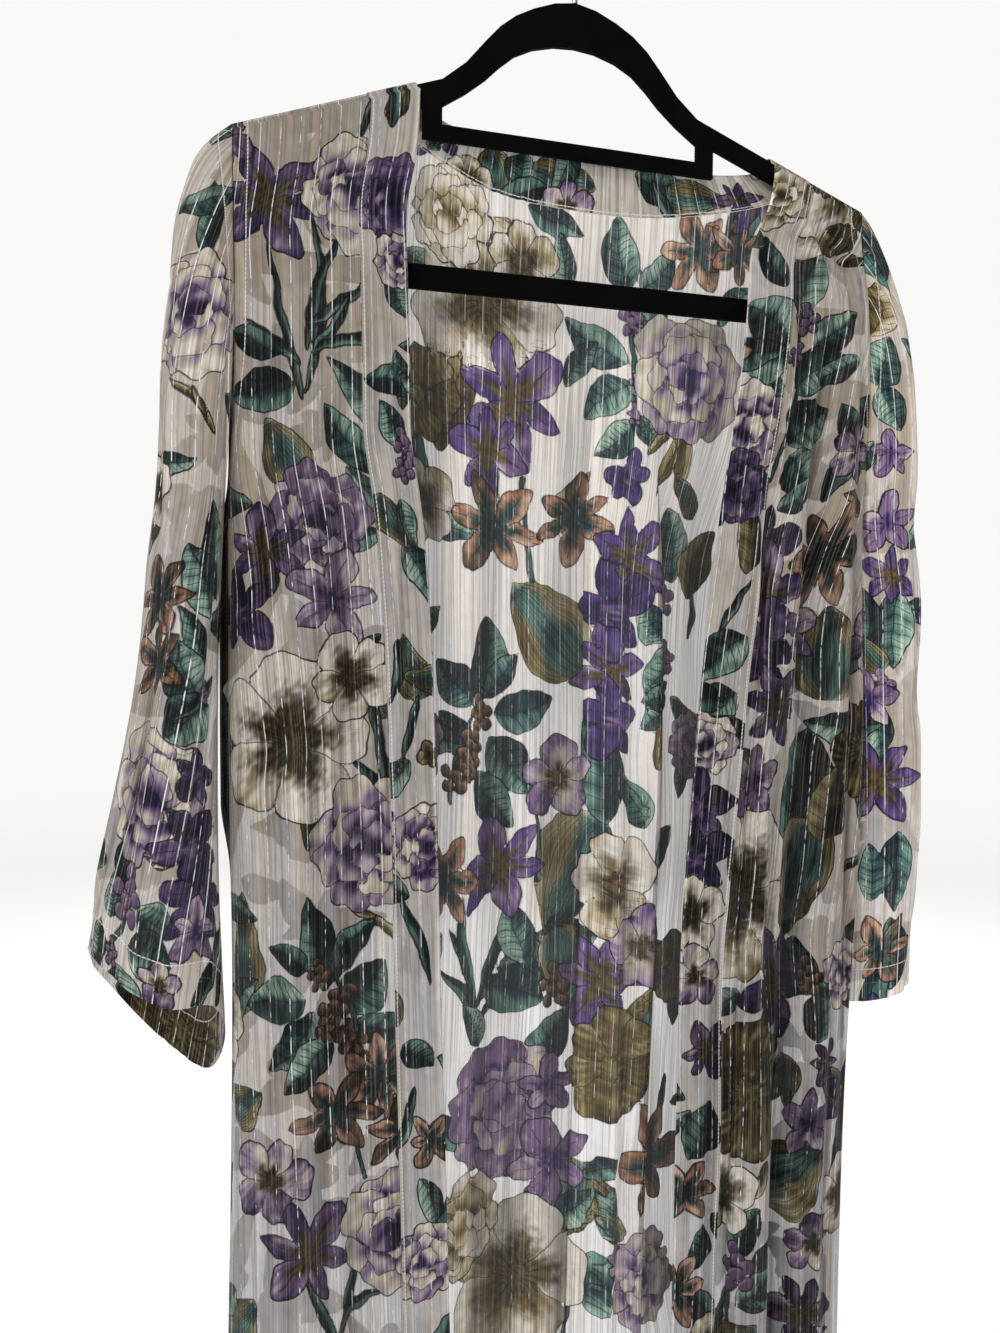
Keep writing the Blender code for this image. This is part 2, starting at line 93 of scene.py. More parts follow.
# folds: share across the panel, half width, sideways swing, lift, first z, full z
folds = {
    "front_right": (
        (0.36, 0.16, 0.000, 0.0045, -0.230, -0.420),
        (0.74, 0.14, 0.000, -0.0040, -0.260, -0.480),
    ),
    "front_left": (
        (0.30, 0.15, 0.000, 0.0080, -0.200, -0.330),
        (0.55, 0.12, 0.000, -0.0085, -0.210, -0.340),
        (0.80, 0.13, 0.007, 0.0125, -0.300, -0.460),
    ),
    "back": (
        (0.16, 0.060, 0.000, 0.0070, -0.260, -0.480),
        (0.345, 0.050, 0.000, -0.0120, -0.240, -0.420),
        (0.615, 0.060, 0.012, -0.0150, -0.250, -0.430),
        (0.76, 0.060, 0.000, 0.0080, -0.260, -0.480),
        (0.89, 0.040, 0.000, -0.0060, -0.300, -0.500),
    ),
}

# sleeve sections: z, outer x, inner x, bulge, centre y, tilt out, tilt back
sleeveRows = {
    "sleeve_right": np.array((
        (-0.1795, 0.2235, 0.2134, 0.0015, 0.000, 0.000, 0.000),
        (-0.190, 0.2325, 0.2134, 0.0040, 0.000, 0.000, 0.000),
        (-0.212, 0.2410, 0.2134, 0.0090, 0.000, 0.000, 0.000),
        (-0.245, 0.2475, 0.2134, 0.0150, 0.000, 0.000, 0.000),
        (-0.290, 0.2515, 0.2136, 0.0220, 0.000, 0.000, 0.000),
        (-0.340, 0.2540, 0.2148, 0.0290, 0.001, 0.000, 0.000),
        (-0.385, 0.2560, 0.2168, 0.0340, 0.002, 0.000, 0.000),
        (-0.435, 0.2610, 0.2190, 0.0380, 0.003, 0.001, 0.001),
        (-0.490, 0.2660, 0.2205, 0.0410, 0.005, 0.004, 0.003),
        (-0.545, 0.2735, 0.2208, 0.0420, 0.006, 0.010, 0.008),
        (-0.600, 0.2830, 0.2200, 0.0420, 0.007, 0.020, 0.014),
        (-0.645, 0.2905, 0.2180, 0.0420, 0.008, 0.027, 0.018),
        (-0.684, 0.2950, 0.2160, 0.0420, 0.008, 0.032, 0.020),
    )),
    "sleeve_left": np.array((
        (-0.1795, 0.2225, 0.2134, 0.0015, 0.000, 0.000, 0.000),
        (-0.190, 0.2290, 0.2134, 0.0040, 0.000, 0.000, 0.000),
        (-0.212, 0.2385, 0.2134, 0.0080, 0.000, 0.000, 0.000),
        (-0.245, 0.2500, 0.2134, 0.0120, 0.000, 0.000, 0.000),
        (-0.290, 0.2550, 0.2136, 0.0160, 0.000, 0.000, 0.000),
        (-0.340, 0.2580, 0.2140, 0.0200, 0.001, 0.000, 0.000),
        (-0.385, 0.2610, 0.2146, 0.0240, 0.002, 0.000, 0.000),
        (-0.440, 0.2650, 0.2175, 0.0260, 0.003, 0.000, 0.000),
        (-0.500, 0.2660, 0.2200, 0.0270, 0.004, 0.001, 0.001),
        (-0.560, 0.2670, 0.2205, 0.0280, 0.004, 0.002, 0.002),
        (-0.620, 0.2670, 0.2195, 0.0290, 0.005, 0.003, 0.003),
        (-0.675, 0.2660, 0.2180, 0.0290, 0.005, 0.004, 0.004),
        (-0.722, 0.2650, 0.2175, 0.0290, 0.005, 0.005, 0.005),
    )),
}


# cubic pieces through a table's rows, the slope at each row taken from its neighbours
def throughRows(keys, values, at):
    slopes = np.gradient(values, keys, axis=0)
    cell = np.clip(np.searchsorted(keys, at) - 1, 0, len(keys) - 2)
    span = keys[cell + 1] - keys[cell]
    part = np.clip((at - keys[cell]) / span, 0.0, 1.0)
    shape = part.shape + (1,) * (values.ndim - 1)
    part, span = part.reshape(shape), span.reshape(shape)
    blend = part * part * (3.0 - 2.0 * part)
    bow = slopes[cell] * part * (1.0 - part) ** 2 - slopes[cell + 1] * part * part * (1.0 - part)
    return values[cell] + (values[cell + 1] - values[cell]) * blend + bow * span


# one column of the body table at height z
def bodyAt(name, z):
    z = np.asarray(z, dtype=float)
    column = bodyRows[:, bodyColumns[name]]
    value = throughRows(-bodyRows[:, 0], column, -z.ravel()).reshape(z.shape)
    return np.maximum(value, jacket["leastOpening"]) if name == "opening" else value


# side seam x and front edge x of one side, the right one where the sign is below zero
def sideAndEdge(sign, z):
    side = "right" if sign < 0 else "left"
    return bodyAt(side + "Side", z), bodyAt(side + "Edge", z)


# smooth step: three times the share squared less twice its cube
def ease(share):
    share = np.clip(share, 0.0, 1.0)
    return share * share * (3.0 - 2.0 * share)


# height of the centre that the cloth turns about over the arm: a straight slope outside the strut
def ridgeCentre(x):
    reach = np.maximum(np.abs(x), jacket["strutInX"]) - jacket["armRefX"]
    return jacket["armTopZ"] - jacket["armSlope"] * reach + jacket["ridgeLift"] - jacket["ridgeRadius"]


# depth of hanging cloth, eased from the arm's radius at the top to its full value
def offArm(depth, x, z):
    radius = jacket["ridgeRadius"]
    return radius + (depth - radius) * ease((ridgeCentre(x) - z) / jacket["levelOut"])


# quarter circle: rises from 0 at the seam to 1
def turn(share):
    return np.sqrt(1.0 - (1.0 - np.clip(share, 0.0, 1.0)) ** 2)


# each fold lifts by a raised cosine and swings sideways by a sine, and grows between two heights
def foldsAt(rows, share, z):
    swing, lift = np.zeros_like(share), np.zeros_like(share)
    for centre, half, side, rise, firstZ, fullZ in rows:
        place = np.clip((share - centre) / half, -1.0, 1.0)
        grown = ease((firstZ - z) / (firstZ - fullZ))
        lift += rise * grown * 0.5 * (1.0 + np.cos(math.pi * place))
        swing += side * grown * np.sin(math.pi * place)
    return swing, lift


# soft troughs and ridges: a bell across each listed line, fading at both ends
def creasesAt(rows, x, z):
    rise = np.zeros_like(x)
    for x0, z0, x1, z1, width, height in rows:
        alongX, alongZ = x1 - x0, z1 - z0
        length = math.hypot(alongX, alongZ)
        part = ((x - x0) * alongX + (z - z0) * alongZ) / length ** 2
        bow = jacket["creaseBow"] * width * np.sin(9.0 * part + 70.0 * x0)
        across = ((x - x0) * alongZ - (z - z0) * alongX) / length + bow
        fade = ease(part / jacket["creaseFade"]) * ease((1.0 - part) / jacket["creaseFade"])
        rise += jacket["creaseScale"] * height * fade * np.exp(-(across / width) ** 2)
    return rise


# waves of the crinkle: turn for each metre, share of the wander, phase, height
crinkleWaves = ((430.0, 1.0, 0.0, 1.0), (700.0, -1.6, 2.0, 0.8), (1130.0, 2.3, 0.7, 0.6))


# crinkle of the cloth: upright waves of uneven pitch whose phases wander with height
def crinkleAt(x, z, height):
    wander = 2.2 * np.sin(11.0 * z + 1.3) + 1.1 * np.sin(29.0 * z)
    wave = np.zeros_like(x)
    for pitch, share, phase, high in crinkleWaves:
        wave += high * np.sin(pitch * x + share * wander + phase)
    return height * wave * (0.55 + 0.45 * np.sin(17.0 * z + 60.0 * x))


# shares across a front from its side seam: even steps round the turn, then even steps to the end
def frontShares(steps, last):
    sideRound = jacket["sideRound"]
    angle = np.clip(steps, 0.0, 1.0) * math.pi / 2.0
    flat = np.clip(steps - 1.0, 0.0, 1.0)
    return sideRound * (1.0 - np.cos(angle)) + (last - sideRound) * flat


# a front or its band: share 0 at the side seam, 1 at the front edge, pushed out by a small rise
def frontSurface(sign, share, z, rows, creases, push):
    sideX, edgeX = sideAndEdge(sign, z)
    seam = 1.0 - jacket["bandWidth"] / np.abs(edgeX - sideX)
    swing, lift = foldsAt(rows, share / seam, z)
    x = sideX + (edgeX - sideX) * share - sign * swing
    opening, full = bodyAt("opening", z), bodyAt("frontDepth", z)
    depth = opening + (full - opening) * turn(share / jacket["sideRound"])
    atEdge = ease((share - jacket["edgeStart"]) / (1.0 - jacket["edgeStart"]))
    depth += (bodyAt("edgeDepth", z) - full) * atEdge
    rise = creasesAt(creases, x, z) + crinkleAt(x, z, jacket["crinkle"])
    lift += ease(share / jacket["looseFront"]) * rise
    return np.stack([x, -offArm(depth + lift, x, z) - push, z], axis=-1)


# angles of the rows that lie over the arm, from behind it to its front
def arcAngles(count):
    return np.radians(np.linspace(jacket["arcFrom"], jacket["arcTo"], count + 1))[:-1, None]


# half the space inside a folded strip: a cosine that changes sign within a short reach of its fold
def foldPush(steps, reach):
    return jacket["bandPush"] * np.cos(math.pi * ease((steps - 1.0 + reach) / (2.0 * reach)))


# grid of a front or a band: arc rows over the arm, then even rows to the hem
def frontGrid(sign, rows, creases, steps, isBand, arcCount, levelCount):
    shoulderX = sign * jacket["shoulderX"]

    # shares across at height z: a band goes out to the front edge and back again underneath
    def sharesAt(z):
        sideX, edgeX = sideAndEdge(sign, z)
        width = np.abs(edgeX - sideX)
        seam = 1.0 - jacket["bandWidth"] / width
        if isBand:
            return seam + (1.0 - seam) * (1.0 - np.abs(steps - 1.0))
        return frontShares(steps, seam - jacket["seamGap"] / width)

    push = foldPush(steps, jacket["bandTurn"]) if isBand else np.zeros_like(steps)
    fallen = jacket["armSlope"] * (jacket["shoulderX"] - jacket["armRefX"])
    topZ = np.full_like(steps, jacket["armTopZ"] - fallen)
    topX = shoulderX + (sideAndEdge(sign, topZ)[1] - shoulderX) * sharesAt(topZ)
    centre, angle = ridgeCentre(topX), arcAngles(arcCount)
    reach = jacket["ridgeRadius"] + push[None, :]
    arcX = np.repeat(topX[None, :], arcCount, axis=0)
    arc = np.stack([arcX, reach * np.sin(angle), centre[None, :] + reach * np.cos(angle)], axis=-1)
    part = np.linspace(0.0, 1.0, levelCount)[:, None]
    z = centre[None, :] + (jacket["hemZ"] - centre[None, :]) * part
    fall = frontSurface(sign, sharesAt(z), z, rows, creases, push[None, :] * np.ones_like(z))
    return np.concatenate([arc, fall])


# the back: share 0 at the wearer's right side seam, 1 at the left; its right side bulges out below the
# armhole
def backSurface(share, z, creases):
    sideRight, sideLeft = bodyAt("rightSide", z), bodyAt("leftSide", z)
    swing, lift = foldsAt(folds["back"], share, z)
    x = sideRight + (sideLeft - sideRight) * share + swing
    opening, fromSide = bodyAt("opening", z), np.minimum(share, 1.0 - share)
    depth = opening + (bodyAt("backDepth", z) - opening) * turn(fromSide / jacket["backRound"])
    rolled, fade = turn(share / jacket["backRound"]), jacket["rollFade"]
    window = ease((jacket["rollTopZ"] - z) / fade) * ease((z - jacket["rollFootZ"]) / fade)
    bulge = 2.0 * rolled * np.sqrt(np.maximum(1.0 - rolled ** 2, 0.0))
    x = x - jacket["sideRoll"] * window * bulge
    rise = creasesAt(creases, x, z) + crinkleAt(x + jacket["backShift"], z, jacket["backCrinkle"])
    lift += ease(fromSide / jacket["looseBack"]) * rise
    return np.stack([x, offArm(depth + lift, x, z), z], axis=-1)


# neck edge and seam: cubic pieces through the neck table, its ends laid on the shoulder seams
def neckLine(count):
    rows = neckRows.copy()
    for end in (0, -1):
        rows[end, 1] = ridgeCentre(rows[end, 0]) + jacket["backTopLift"]
        rows[end, 3] = ridgeCentre(rows[end, 2]) + jacket["backTopLift"]
    return throughRows(np.arange(len(rows)) * 1.0, rows, np.linspace(0.0, len(rows) - 1.0, count))


# share across the back at the shoulders
def backShare(x):
    return (x + jacket["shoulderX"]) / (2.0 * jacket["shoulderX"])


# the neck band: from the seam up to the neck edge and down again behind it
def neckGrid(countAlong, steps, creases):
    line = neckLine(countAlong)[None, :, :]
    across = np.abs(steps - 1.0)[:, None]
    x = line[..., 0] + (line[..., 2] - line[..., 0]) * across
    z = line[..., 1] + (line[..., 3] - line[..., 1]) * across
    grid = backSurface(backShare(x), z, creases)
    grid[..., 1] -= foldPush(steps, jacket["neckTurn"])[:, None]
    return grid


# the back panel: each column falls from the shoulder or neck seam to the hem
def backGrid(turnCount, flatCount, levelCount, creases):
    line = neckLine(400)
    reach = line[:, 2:4] - line[:, 0:2]
    seam = line[:, 2:4] + reach / np.linalg.norm(reach, axis=1, keepdims=True) * jacket["seamGap"]
    rounded = jacket["backRound"] * (1.0 - np.cos(np.linspace(0.0, math.pi / 2.0, turnCount)))
    shares = np.concatenate([rounded, np.linspace(rounded[-1], 1.0 - rounded[-1], flatCount)[1:-1],
                             1.0 - rounded[::-1]])
    x = (2.0 * shares - 1.0) * jacket["shoulderX"]
    top = ridgeCentre(x) + jacket["backTopLift"]
    inNeck = (x > seam[0, 0]) & (x < seam[-1, 0])
    top = np.where(inNeck, np.interp(x, seam[:, 0], seam[:, 1]), top)
    z = top[None, :] + (jacket["hemZ"] - top[None, :]) * np.linspace(0.0, 1.0, levelCount)[:, None]
    return backSurface(shares[None, :] * np.ones_like(z), z, creases)


# rim of the right cuff: place round it, lift in metres; its front edge is pulled up at the inner end and
# its back hangs lower
cuffLift = np.array(((-1.0, 0.008), (-0.8, 0.014), (-0.5, -0.012), (-0.25, -0.010), (0.0, 0.0),
                     (0.3, -0.008), (0.55, -0.016), (0.8, -0.016), (1.0, 0.008)))


# a sleeve: oval sections that lean out and back towards the cuff, joined by cubic pieces
def sleeveGrid(sign, rows, columnCount, rowCount):
    around = np.linspace(-1.0, 1.0, columnCount)
    out, back = np.cos(math.pi * around), np.sin(math.pi * around)
    sideX, radius = sign * jacket["shoulderX"], jacket["ridgeRadius"]
    capZ = ridgeCentre(sideX) + radius * np.cos(around * math.pi / 2.0)
    cap = np.stack([np.full_like(around, sideX + sign * jacket["seamGap"]),
                    radius * np.sin(around * math.pi / 2.0), capZ], axis=-1)
    z, outerX, innerX, bulge, centreY, tiltOut, tiltBack = (rows[:, k:k + 1] for k in range(7))
    opening = offArm(bodyAt("opening", z), sideX, z)
    keys = np.stack([sign * (innerX + (outerX - innerX) * 0.5 * (1.0 + out)),
                     opening * around + bulge * back + centreY * (1.0 - around * around),
                     z + tiltOut * out - tiltBack * back], axis=-1)
    if sign < 0:
        lift = throughRows(cuffLift[:, 0], cuffLift[:, 1], around)
        keys[..., 2] += lift[None, :] * ease((-z - jacket["cuffDrop"]) / jacket["cuffFade"])
    keys = np.concatenate([cap[None], keys])
    gaps = np.linalg.norm(np.diff(keys[:, columnCount // 2], axis=0), axis=1)
    place = np.concatenate([[0.0], np.cumsum(gaps)])
    return throughRows(place, keys, np.linspace(0.0, place[-1], rowCount))


# unit normals of a grid: the cross product of its steps along and across
def gridNormals(grid):
    normal = np.cross(np.gradient(grid, axis=1), np.gradient(grid, axis=0))
    return normal / np.maximum(np.linalg.norm(normal, axis=-1, keepdims=True), 1e-12)


# running length across each row in millimetres, from a chosen column
def runAcross(grid, column):
    steps = np.linalg.norm(np.diff(grid, axis=1), axis=-1)
    run = np.concatenate([np.zeros((len(grid), 1)), np.cumsum(steps, axis=1)], axis=1)
    return millis * (run - run[:, [column]])


# creases: x, z of both ends, half width, height out from the body, in metres
creases = {
    "front_right": (
        (-0.150, -0.150, -0.165, -0.330, 0.006, 0.0016),
        (-0.195, -0.190, -0.188, -0.520, 0.007, -0.0022),
        (-0.170, -0.300, -0.176, -0.980, 0.008, 0.0024),
        (-0.150, -0.420, -0.146, -1.100, 0.006, -0.0020),
        (-0.125, -0.230, -0.118, -0.700, 0.005, 0.0016),
        (-0.186, -0.640, -0.192, -1.100, 0.006, 0.0022),
        (-0.205, -0.420, -0.168, -0.560, 0.009, 0.0016),
    ),
    "front_left": (
        (0.152, -0.150, 0.182, -0.245, 0.005, 0.0034),
        (0.166, -0.148, 0.196, -0.225, 0.004, -0.0030),
        (0.178, -0.150, 0.204, -0.215, 0.0035, 0.0032),
        (0.160, -0.170, 0.158, -0.330, 0.005, -0.0020),
        (0.190, -0.230, 0.176, -0.560, 0.008, 0.0030),
        (0.150, -0.330, 0.132, -0.800, 0.006, -0.0030),
        (0.200, -0.360, 0.196, -0.900, 0.007, -0.0030),
        (0.165, -0.520, 0.160, -1.100, 0.007, 0.0034),
        (0.118, -0.400, 0.100, -0.900, 0.006, 0.0026),
        (0.145, -0.720, 0.140, -1.100, 0.006, -0.0026),
        (0.124, -0.320, 0.117, -0.760, 0.0038, 0.0032),
        (0.135, -0.330, 0.129, -0.780, 0.0034, -0.0030),
        (0.099, -0.580, 0.094, -1.100, 0.0040, -0.0028),
        (0.182, -0.600, 0.184, -1.100, 0.0050, -0.0028),
    ),
    "back": (
        (-0.090, -0.215, -0.075, -0.700, 0.010, 0.0026),
        (-0.045, -0.230, -0.030, -0.560, 0.009, -0.0024),
        (0.010, -0.260, 0.000, -0.900, 0.011, 0.0030),
        (0.030, -0.300, 0.032, -1.100, 0.0050, 0.0034),
        (0.042, -0.280, 0.043, -1.100, 0.0042, -0.0036),
        (0.056, -0.290, 0.054, -1.100, 0.0045, 0.0036),
        (0.075, -0.300, 0.072, -1.100, 0.0060, -0.0034),
        (-0.120, -0.300, -0.118, -1.100, 0.009, -0.0028),
        (0.120, -0.240, 0.112, -0.760, 0.010, 0.0026),
        (-0.020, -0.640, -0.030, -1.100, 0.010, 0.0026),
        (0.150, -0.400, 0.156, -1.100, 0.009, -0.0026),
        (-0.170, -0.340, -0.166, -1.100, 0.009, 0.0024),
    ),
    # sleeves: place round and down the cloth in metres, half width, height
    "sleeve_right": (
        (-0.020, 0.190, 0.010, 0.330, 0.007, -0.0020),
        (0.034, 0.230, 0.022, 0.520, 0.007, 0.0024),
        (0.010, 0.330, 0.040, 0.640, 0.009, -0.0030),
        (0.060, 0.420, 0.052, 0.700, 0.008, 0.0030),
        (-0.020, 0.360, -0.030, 0.700, 0.010, 0.0030),
        (-0.060, 0.300, -0.055, 0.690, 0.010, -0.0028),
        (0.020, 0.560, -0.010, 0.720, 0.008, -0.0026),
    ),
    "sleeve_left": (
        (-0.008, 0.185, -0.022, 0.260, 0.005, -0.0026),
        (-0.030, 0.230, -0.018, 0.520, 0.006, 0.0024),
        (-0.012, 0.330, -0.036, 0.560, 0.006, -0.0026),
        (-0.040, 0.420, -0.020, 0.740, 0.007, 0.0028),
        (-0.014, 0.560, -0.030, 0.760, 0.006, -0.0026),
        (0.026, 0.300, 0.030, 0.740, 0.009, 0.0026),
        (0.056, 0.360, 0.050, 0.740, 0.009, -0.0026),
    ),
}

# grid sizes: vertices across and down each piece; the sleeve's creases fade at its seam and below its top
grids = {
    "front": {"turn": 28, "flat": 70, "arc": 16, "levels": 800},
    "band": {"steps": 49, "arc": 12, "levels": 640},
    "back": {"turn": 22, "flat": 186, "levels": 425},
    "neck": {"along": 330, "steps": 41},
    "sleeve": {"columns": 150, "rows": 385, "seamColumns": 12.0, "flatDrop": 175.0, "fadeDrop": 60.0},
}


# cloth places of a front or band in millimetres: run across from the band seam, drop below the origin
def frontPlaces(grid, sign, seamColumn, arcCount):
    across, drop = -sign * runAcross(grid, seamColumn), -millis * grid[..., 2]
    angle = arcAngles(arcCount) + math.pi / 2.0
    drop[:arcCount] = drop[arcCount][None, :] - millis * jacket["ridgeRadius"] * angle
    return across, drop


# a front panel, or a band that goes out and back, with its cloth places
def buildFront(sign, key, isBand):
    size = grids["band" if isBand else "front"]
    if isBand:
        steps = np.linspace(0.0, 2.0, size["steps"])
    else:
        flat = np.linspace(1.0, 2.0, size["flat"])[1:]
        steps = np.concatenate([np.linspace(0.0, 1.0, size["turn"]), flat])
    grid = frontGrid(sign, folds[key], creases[key], steps, isBand, size["arc"], size["levels"])
    return grid, *frontPlaces(grid, sign, 0 if isBand else -1, size["arc"])


# the back with its cloth places, across from the middle
def buildBack():
    size = grids["back"]
    grid = backGrid(size["turn"], size["flat"], size["levels"], creases["back"])
    return grid, runAcross(grid, grid.shape[1] // 2), -millis * grid[..., 2]


# the neck band with its cloth places: a straight strip folded along its middle
def buildNeck():
    size = grids["neck"]
    steps = np.linspace(0.0, 2.0, size["steps"])
    grid = neckGrid(size["along"], steps, creases["back"])
    across = runAcross(grid, size["along"] // 2)
    across = np.repeat(across[size["steps"] // 2][None, :], size["steps"], axis=0)
    drop = drops["neckEdge"] + millis * jacket["bandWidth"] * (1.0 - steps)
    return grid, across, np.repeat(drop[:, None], size["along"], axis=1)


# a sleeve with its cloth places: round from the outer line, down along that line, creases along its normals
def buildSleeve(sign, node):
    size = grids["sleeve"]
    grid = sleeveGrid(sign, sleeveRows[node], size["columns"], size["rows"])
    middle = size["columns"] // 2
    around = sign * runAcross(grid, middle)
    line = np.linalg.norm(np.diff(grid[:, middle], axis=0), axis=1)
    down = drops["sleeveTop"] + millis * np.concatenate([[0.0], np.cumsum(line)])
    down = np.repeat(down[:, None], size["columns"], axis=1)
    u, v = around / millis, down / millis
    rise = creasesAt(creases[node], u, v) + crinkleAt(u, -v, jacket["crinkle"])
    columns = np.arange(size["columns"])
    edge = np.minimum(columns, columns[::-1]) / size["seamColumns"]
    rise *= ease((down - size["flatDrop"]) / size["fadeDrop"]) * ease(edge)[None, :]
    outward = -gridNormals(grid) * np.sign(sign)
    return grid + outward * rise[..., None], around, down


# dyes: the print's colours as 0 to 255 values
dyes = {
    "white": (226, 217, 206), "cream": (206, 192, 170), "lilac": (176, 160, 180), "mauve": (124, 98, 132),
    "violet": (88, 69, 120), "purple": (61, 46, 97), "deep": (41, 31, 71), "inkViolet": (29, 23, 50),
    "tealPale": (166, 188, 172), "tealLight": (116, 150, 137), "teal": (72, 106, 101),
    "tealDark": (39, 65, 68), "inkTeal": (25, 40, 46), "oliveLight": (160, 146, 106),
    "olive": (124, 112, 70), "brown": (90, 75, 42), "brownDark": (52, 43, 25),
    "peachPale": (206, 172, 150), "peach": (174, 128, 104), "rust": (112, 82, 64),
    "blackGreen": (38, 42, 33),
}

# tone ramps from dark to light
ramps = {
    "purple": ("inkViolet", "deep", "purple", "violet", "mauve", "lilac"),
    "pale": ("deep", "purple", "mauve", "lilac", "cream", "white"),
    "mauve": ("deep", "purple", "mauve", "mauve", "lilac", "cream"),
    "cream": ("brownDark", "brown", "olive", "oliveLight", "cream", "white"),
    "olive": ("brownDark", "brownDark", "brown", "brown", "olive", "oliveLight"),
    "peach": ("blackGreen", "blackGreen", "brownDark", "rust", "peach", "peachPale"),
    "teal": ("inkTeal", "tealDark", "teal", "tealLight", "tealPale"),
    "darkTeal": ("inkTeal", "inkTeal", "tealDark", "teal", "tealLight"),
    "brownLeaf": ("brownDark", "brownDark", "brown", "olive", "oliveLight"),
    "oliveLeaf": ("brownDark", "brown", "olive", "oliveLight", "cream"),
}

# columns of the motif table after the form
motifColumns = {
    "bloom": ("petals", "notch", "round", "power", "uneven", "ramp", "core", "coreReach", "tones", "rays",
              "stamens"),
    "peony": ("ramp", "tones", "spread"), "leaf": ("ramp", "veins", "belly", "point"),
    "hosta": ("ramp", "middle", "ribs"), "stem": ("ramp",), "berries": ("ramp",),
}
# motifs: how each flower, leaf and berry of the print is drawn
motifRows = {
    "purpleLily": ("bloom", 6, 0.36, 1.15, 0.72, 0.18, "purple", "olive", 0.46, (0.34, 0.62), 0.08, 0),
    "deepLily": ("bloom", 5, 0.42, 1.2, 0.72, 0.22, "purple", "mauve", 0.22, (0.12, 0.44), 0.08, 0),
    "mauveLily": ("bloom", 5, 0.40, 1.2, 0.72, 0.22, "mauve", "purple", 0.30, (0.30, 0.62), 0.08, 0),
    "peachLily": ("bloom", 6, 0.34, 1.15, 0.75, 0.24, "peach", "darkTeal", 0.54, (0.26, 0.74), 0.08, 0),
    "creamAnemone": ("bloom", 5, 0.70, 2.4, 0.55, 0.14, "cream", "olive", 0.52, (0.58, 1.0), 0.08, 20),
    "olivePoppy": ("bloom", 7, 0.82, 2.2, 0.5, 0.12, "olive", "oliveLeaf", 0.30, (0.08, 0.58), 0.30, 16),
    "creamLilac": ("bloom", 5, 0.56, 2.0, 0.6, 0.18, "pale", "olive", 0.34, (0.86, 0.52), 0.08, 12),
    "oliveBud": ("bloom", 3, 0.5, 2.0, 0.7, 0.1, "olive", "olive", 0.3, (0.3, 0.7), 0.08, 0),
    "purplePeony": ("peony", "pale", (0.08, 0.78), 0.24),
    "deepPeony": ("peony", "purple", (0.14, 0.62), 0.24),
    "mauvePeony": ("peony", "mauve", (0.26, 0.70), 0.26),
    "creamPeony": ("peony", "cream", (0.24, 0.92), 0.22),
    "tealLeaf": ("leaf", "teal", 5, 0.80, 0.85),
    "darkLeaf": ("leaf", "darkTeal", 5, 0.85, 0.8),
    "brownLeaf": ("leaf", "brownLeaf", 4, 0.8, 0.8),
    "oliveLeaf": ("leaf", "oliveLeaf", 4, 0.8, 0.8),
    "strap": ("leaf", "darkTeal", 0, 0.75, 0.6),
    "olive": ("leaf", "oliveLeaf", 0, 0.8, 0.7),
    "hosta": ("hosta", "oliveLeaf", "teal", 4),
    "stem": ("stem", "darkTeal"),
    "rustBerries": ("berries", "peach"),
    "violetBerries": ("berries", "mauve"),
}
layers = {"bloom": "over", "peony": "over", "berries": "over",
          "leaf": "under", "hosta": "under", "stem": "under"}
motifs = {name: {"form": form, "layer": layers[form], **dict(zip(motifColumns[form], row))}
          for name, (form, *row) in motifRows.items()}

# fields: value where no line is near, reach of signed distances in mm, growth of motifs, shake of the cloth
# places in mm with its pitches, weights of the three colours in brightness
fields = {
    "blank": 9.0, "reach": 6.0, "grown": {"under": 1.06, "over": 1.04}, "widened": 1.05,
    "shake": 1.3, "shakePitch": 30.0, "tremble": 0.25, "tremblePitch": 8.0,
    "brightness": (0.2126, 0.7152, 0.0722),
}


# linear light value of a dye: the usual display curve undone
def dye(name):
    value = np.array(dyes[name]) / 255.0
    return np.where(value <= 0.04045, value / 12.92, ((value + 0.055) / 1.055) ** 2.4)


# colour of a tone on a ramp, straight lines between its evenly spaced dyes
def rampColour(ramp, tone):
    table = np.array([dye(name) for name in ramps[ramp]])
    places = np.linspace(0.0, 1.0, len(table))
    return np.stack([np.interp(tone, places, table[:, k]) for k in range(3)], axis=-1)


# soft noise from minus one to one: sines of five directions whose phases bend each other
def softNoise(x, y, pitch, seed):
    x, y = x * (2.0 * math.pi / pitch), y * (2.0 * math.pi / pitch)
    first = np.sin(0.91 * x + 0.42 * y + 1.7 * seed + 1.3 * np.sin(0.53 * y - 0.37 * x + seed))
    second = np.sin(-0.63 * x + 0.84 * y + 2.9 * seed + 1.1 * np.sin(0.71 * x + 0.29 * y - seed))
    third = np.sin(1.63 * x - 1.18 * y + 0.6 * seed + first)
    return 0.42 * first + 0.36 * second + 0.30 * third


# number from zero to one that a place in a list and a seed give
def chance(number, seed):
    value = np.sin(12.9898 * np.asarray(number, dtype=float) + 78.233 * seed) * 43758.5453
    return value - np.floor(value)


# a field kept out of the way, with its sign, where a mask is off
def onlyWhere(mask, field):
    return np.where(mask, field, np.where(field < 0.0, -fields["blank"], fields["blank"]))


# a field with no line in it
def noLine(x):
    return np.full_like(x, fields["blank"])


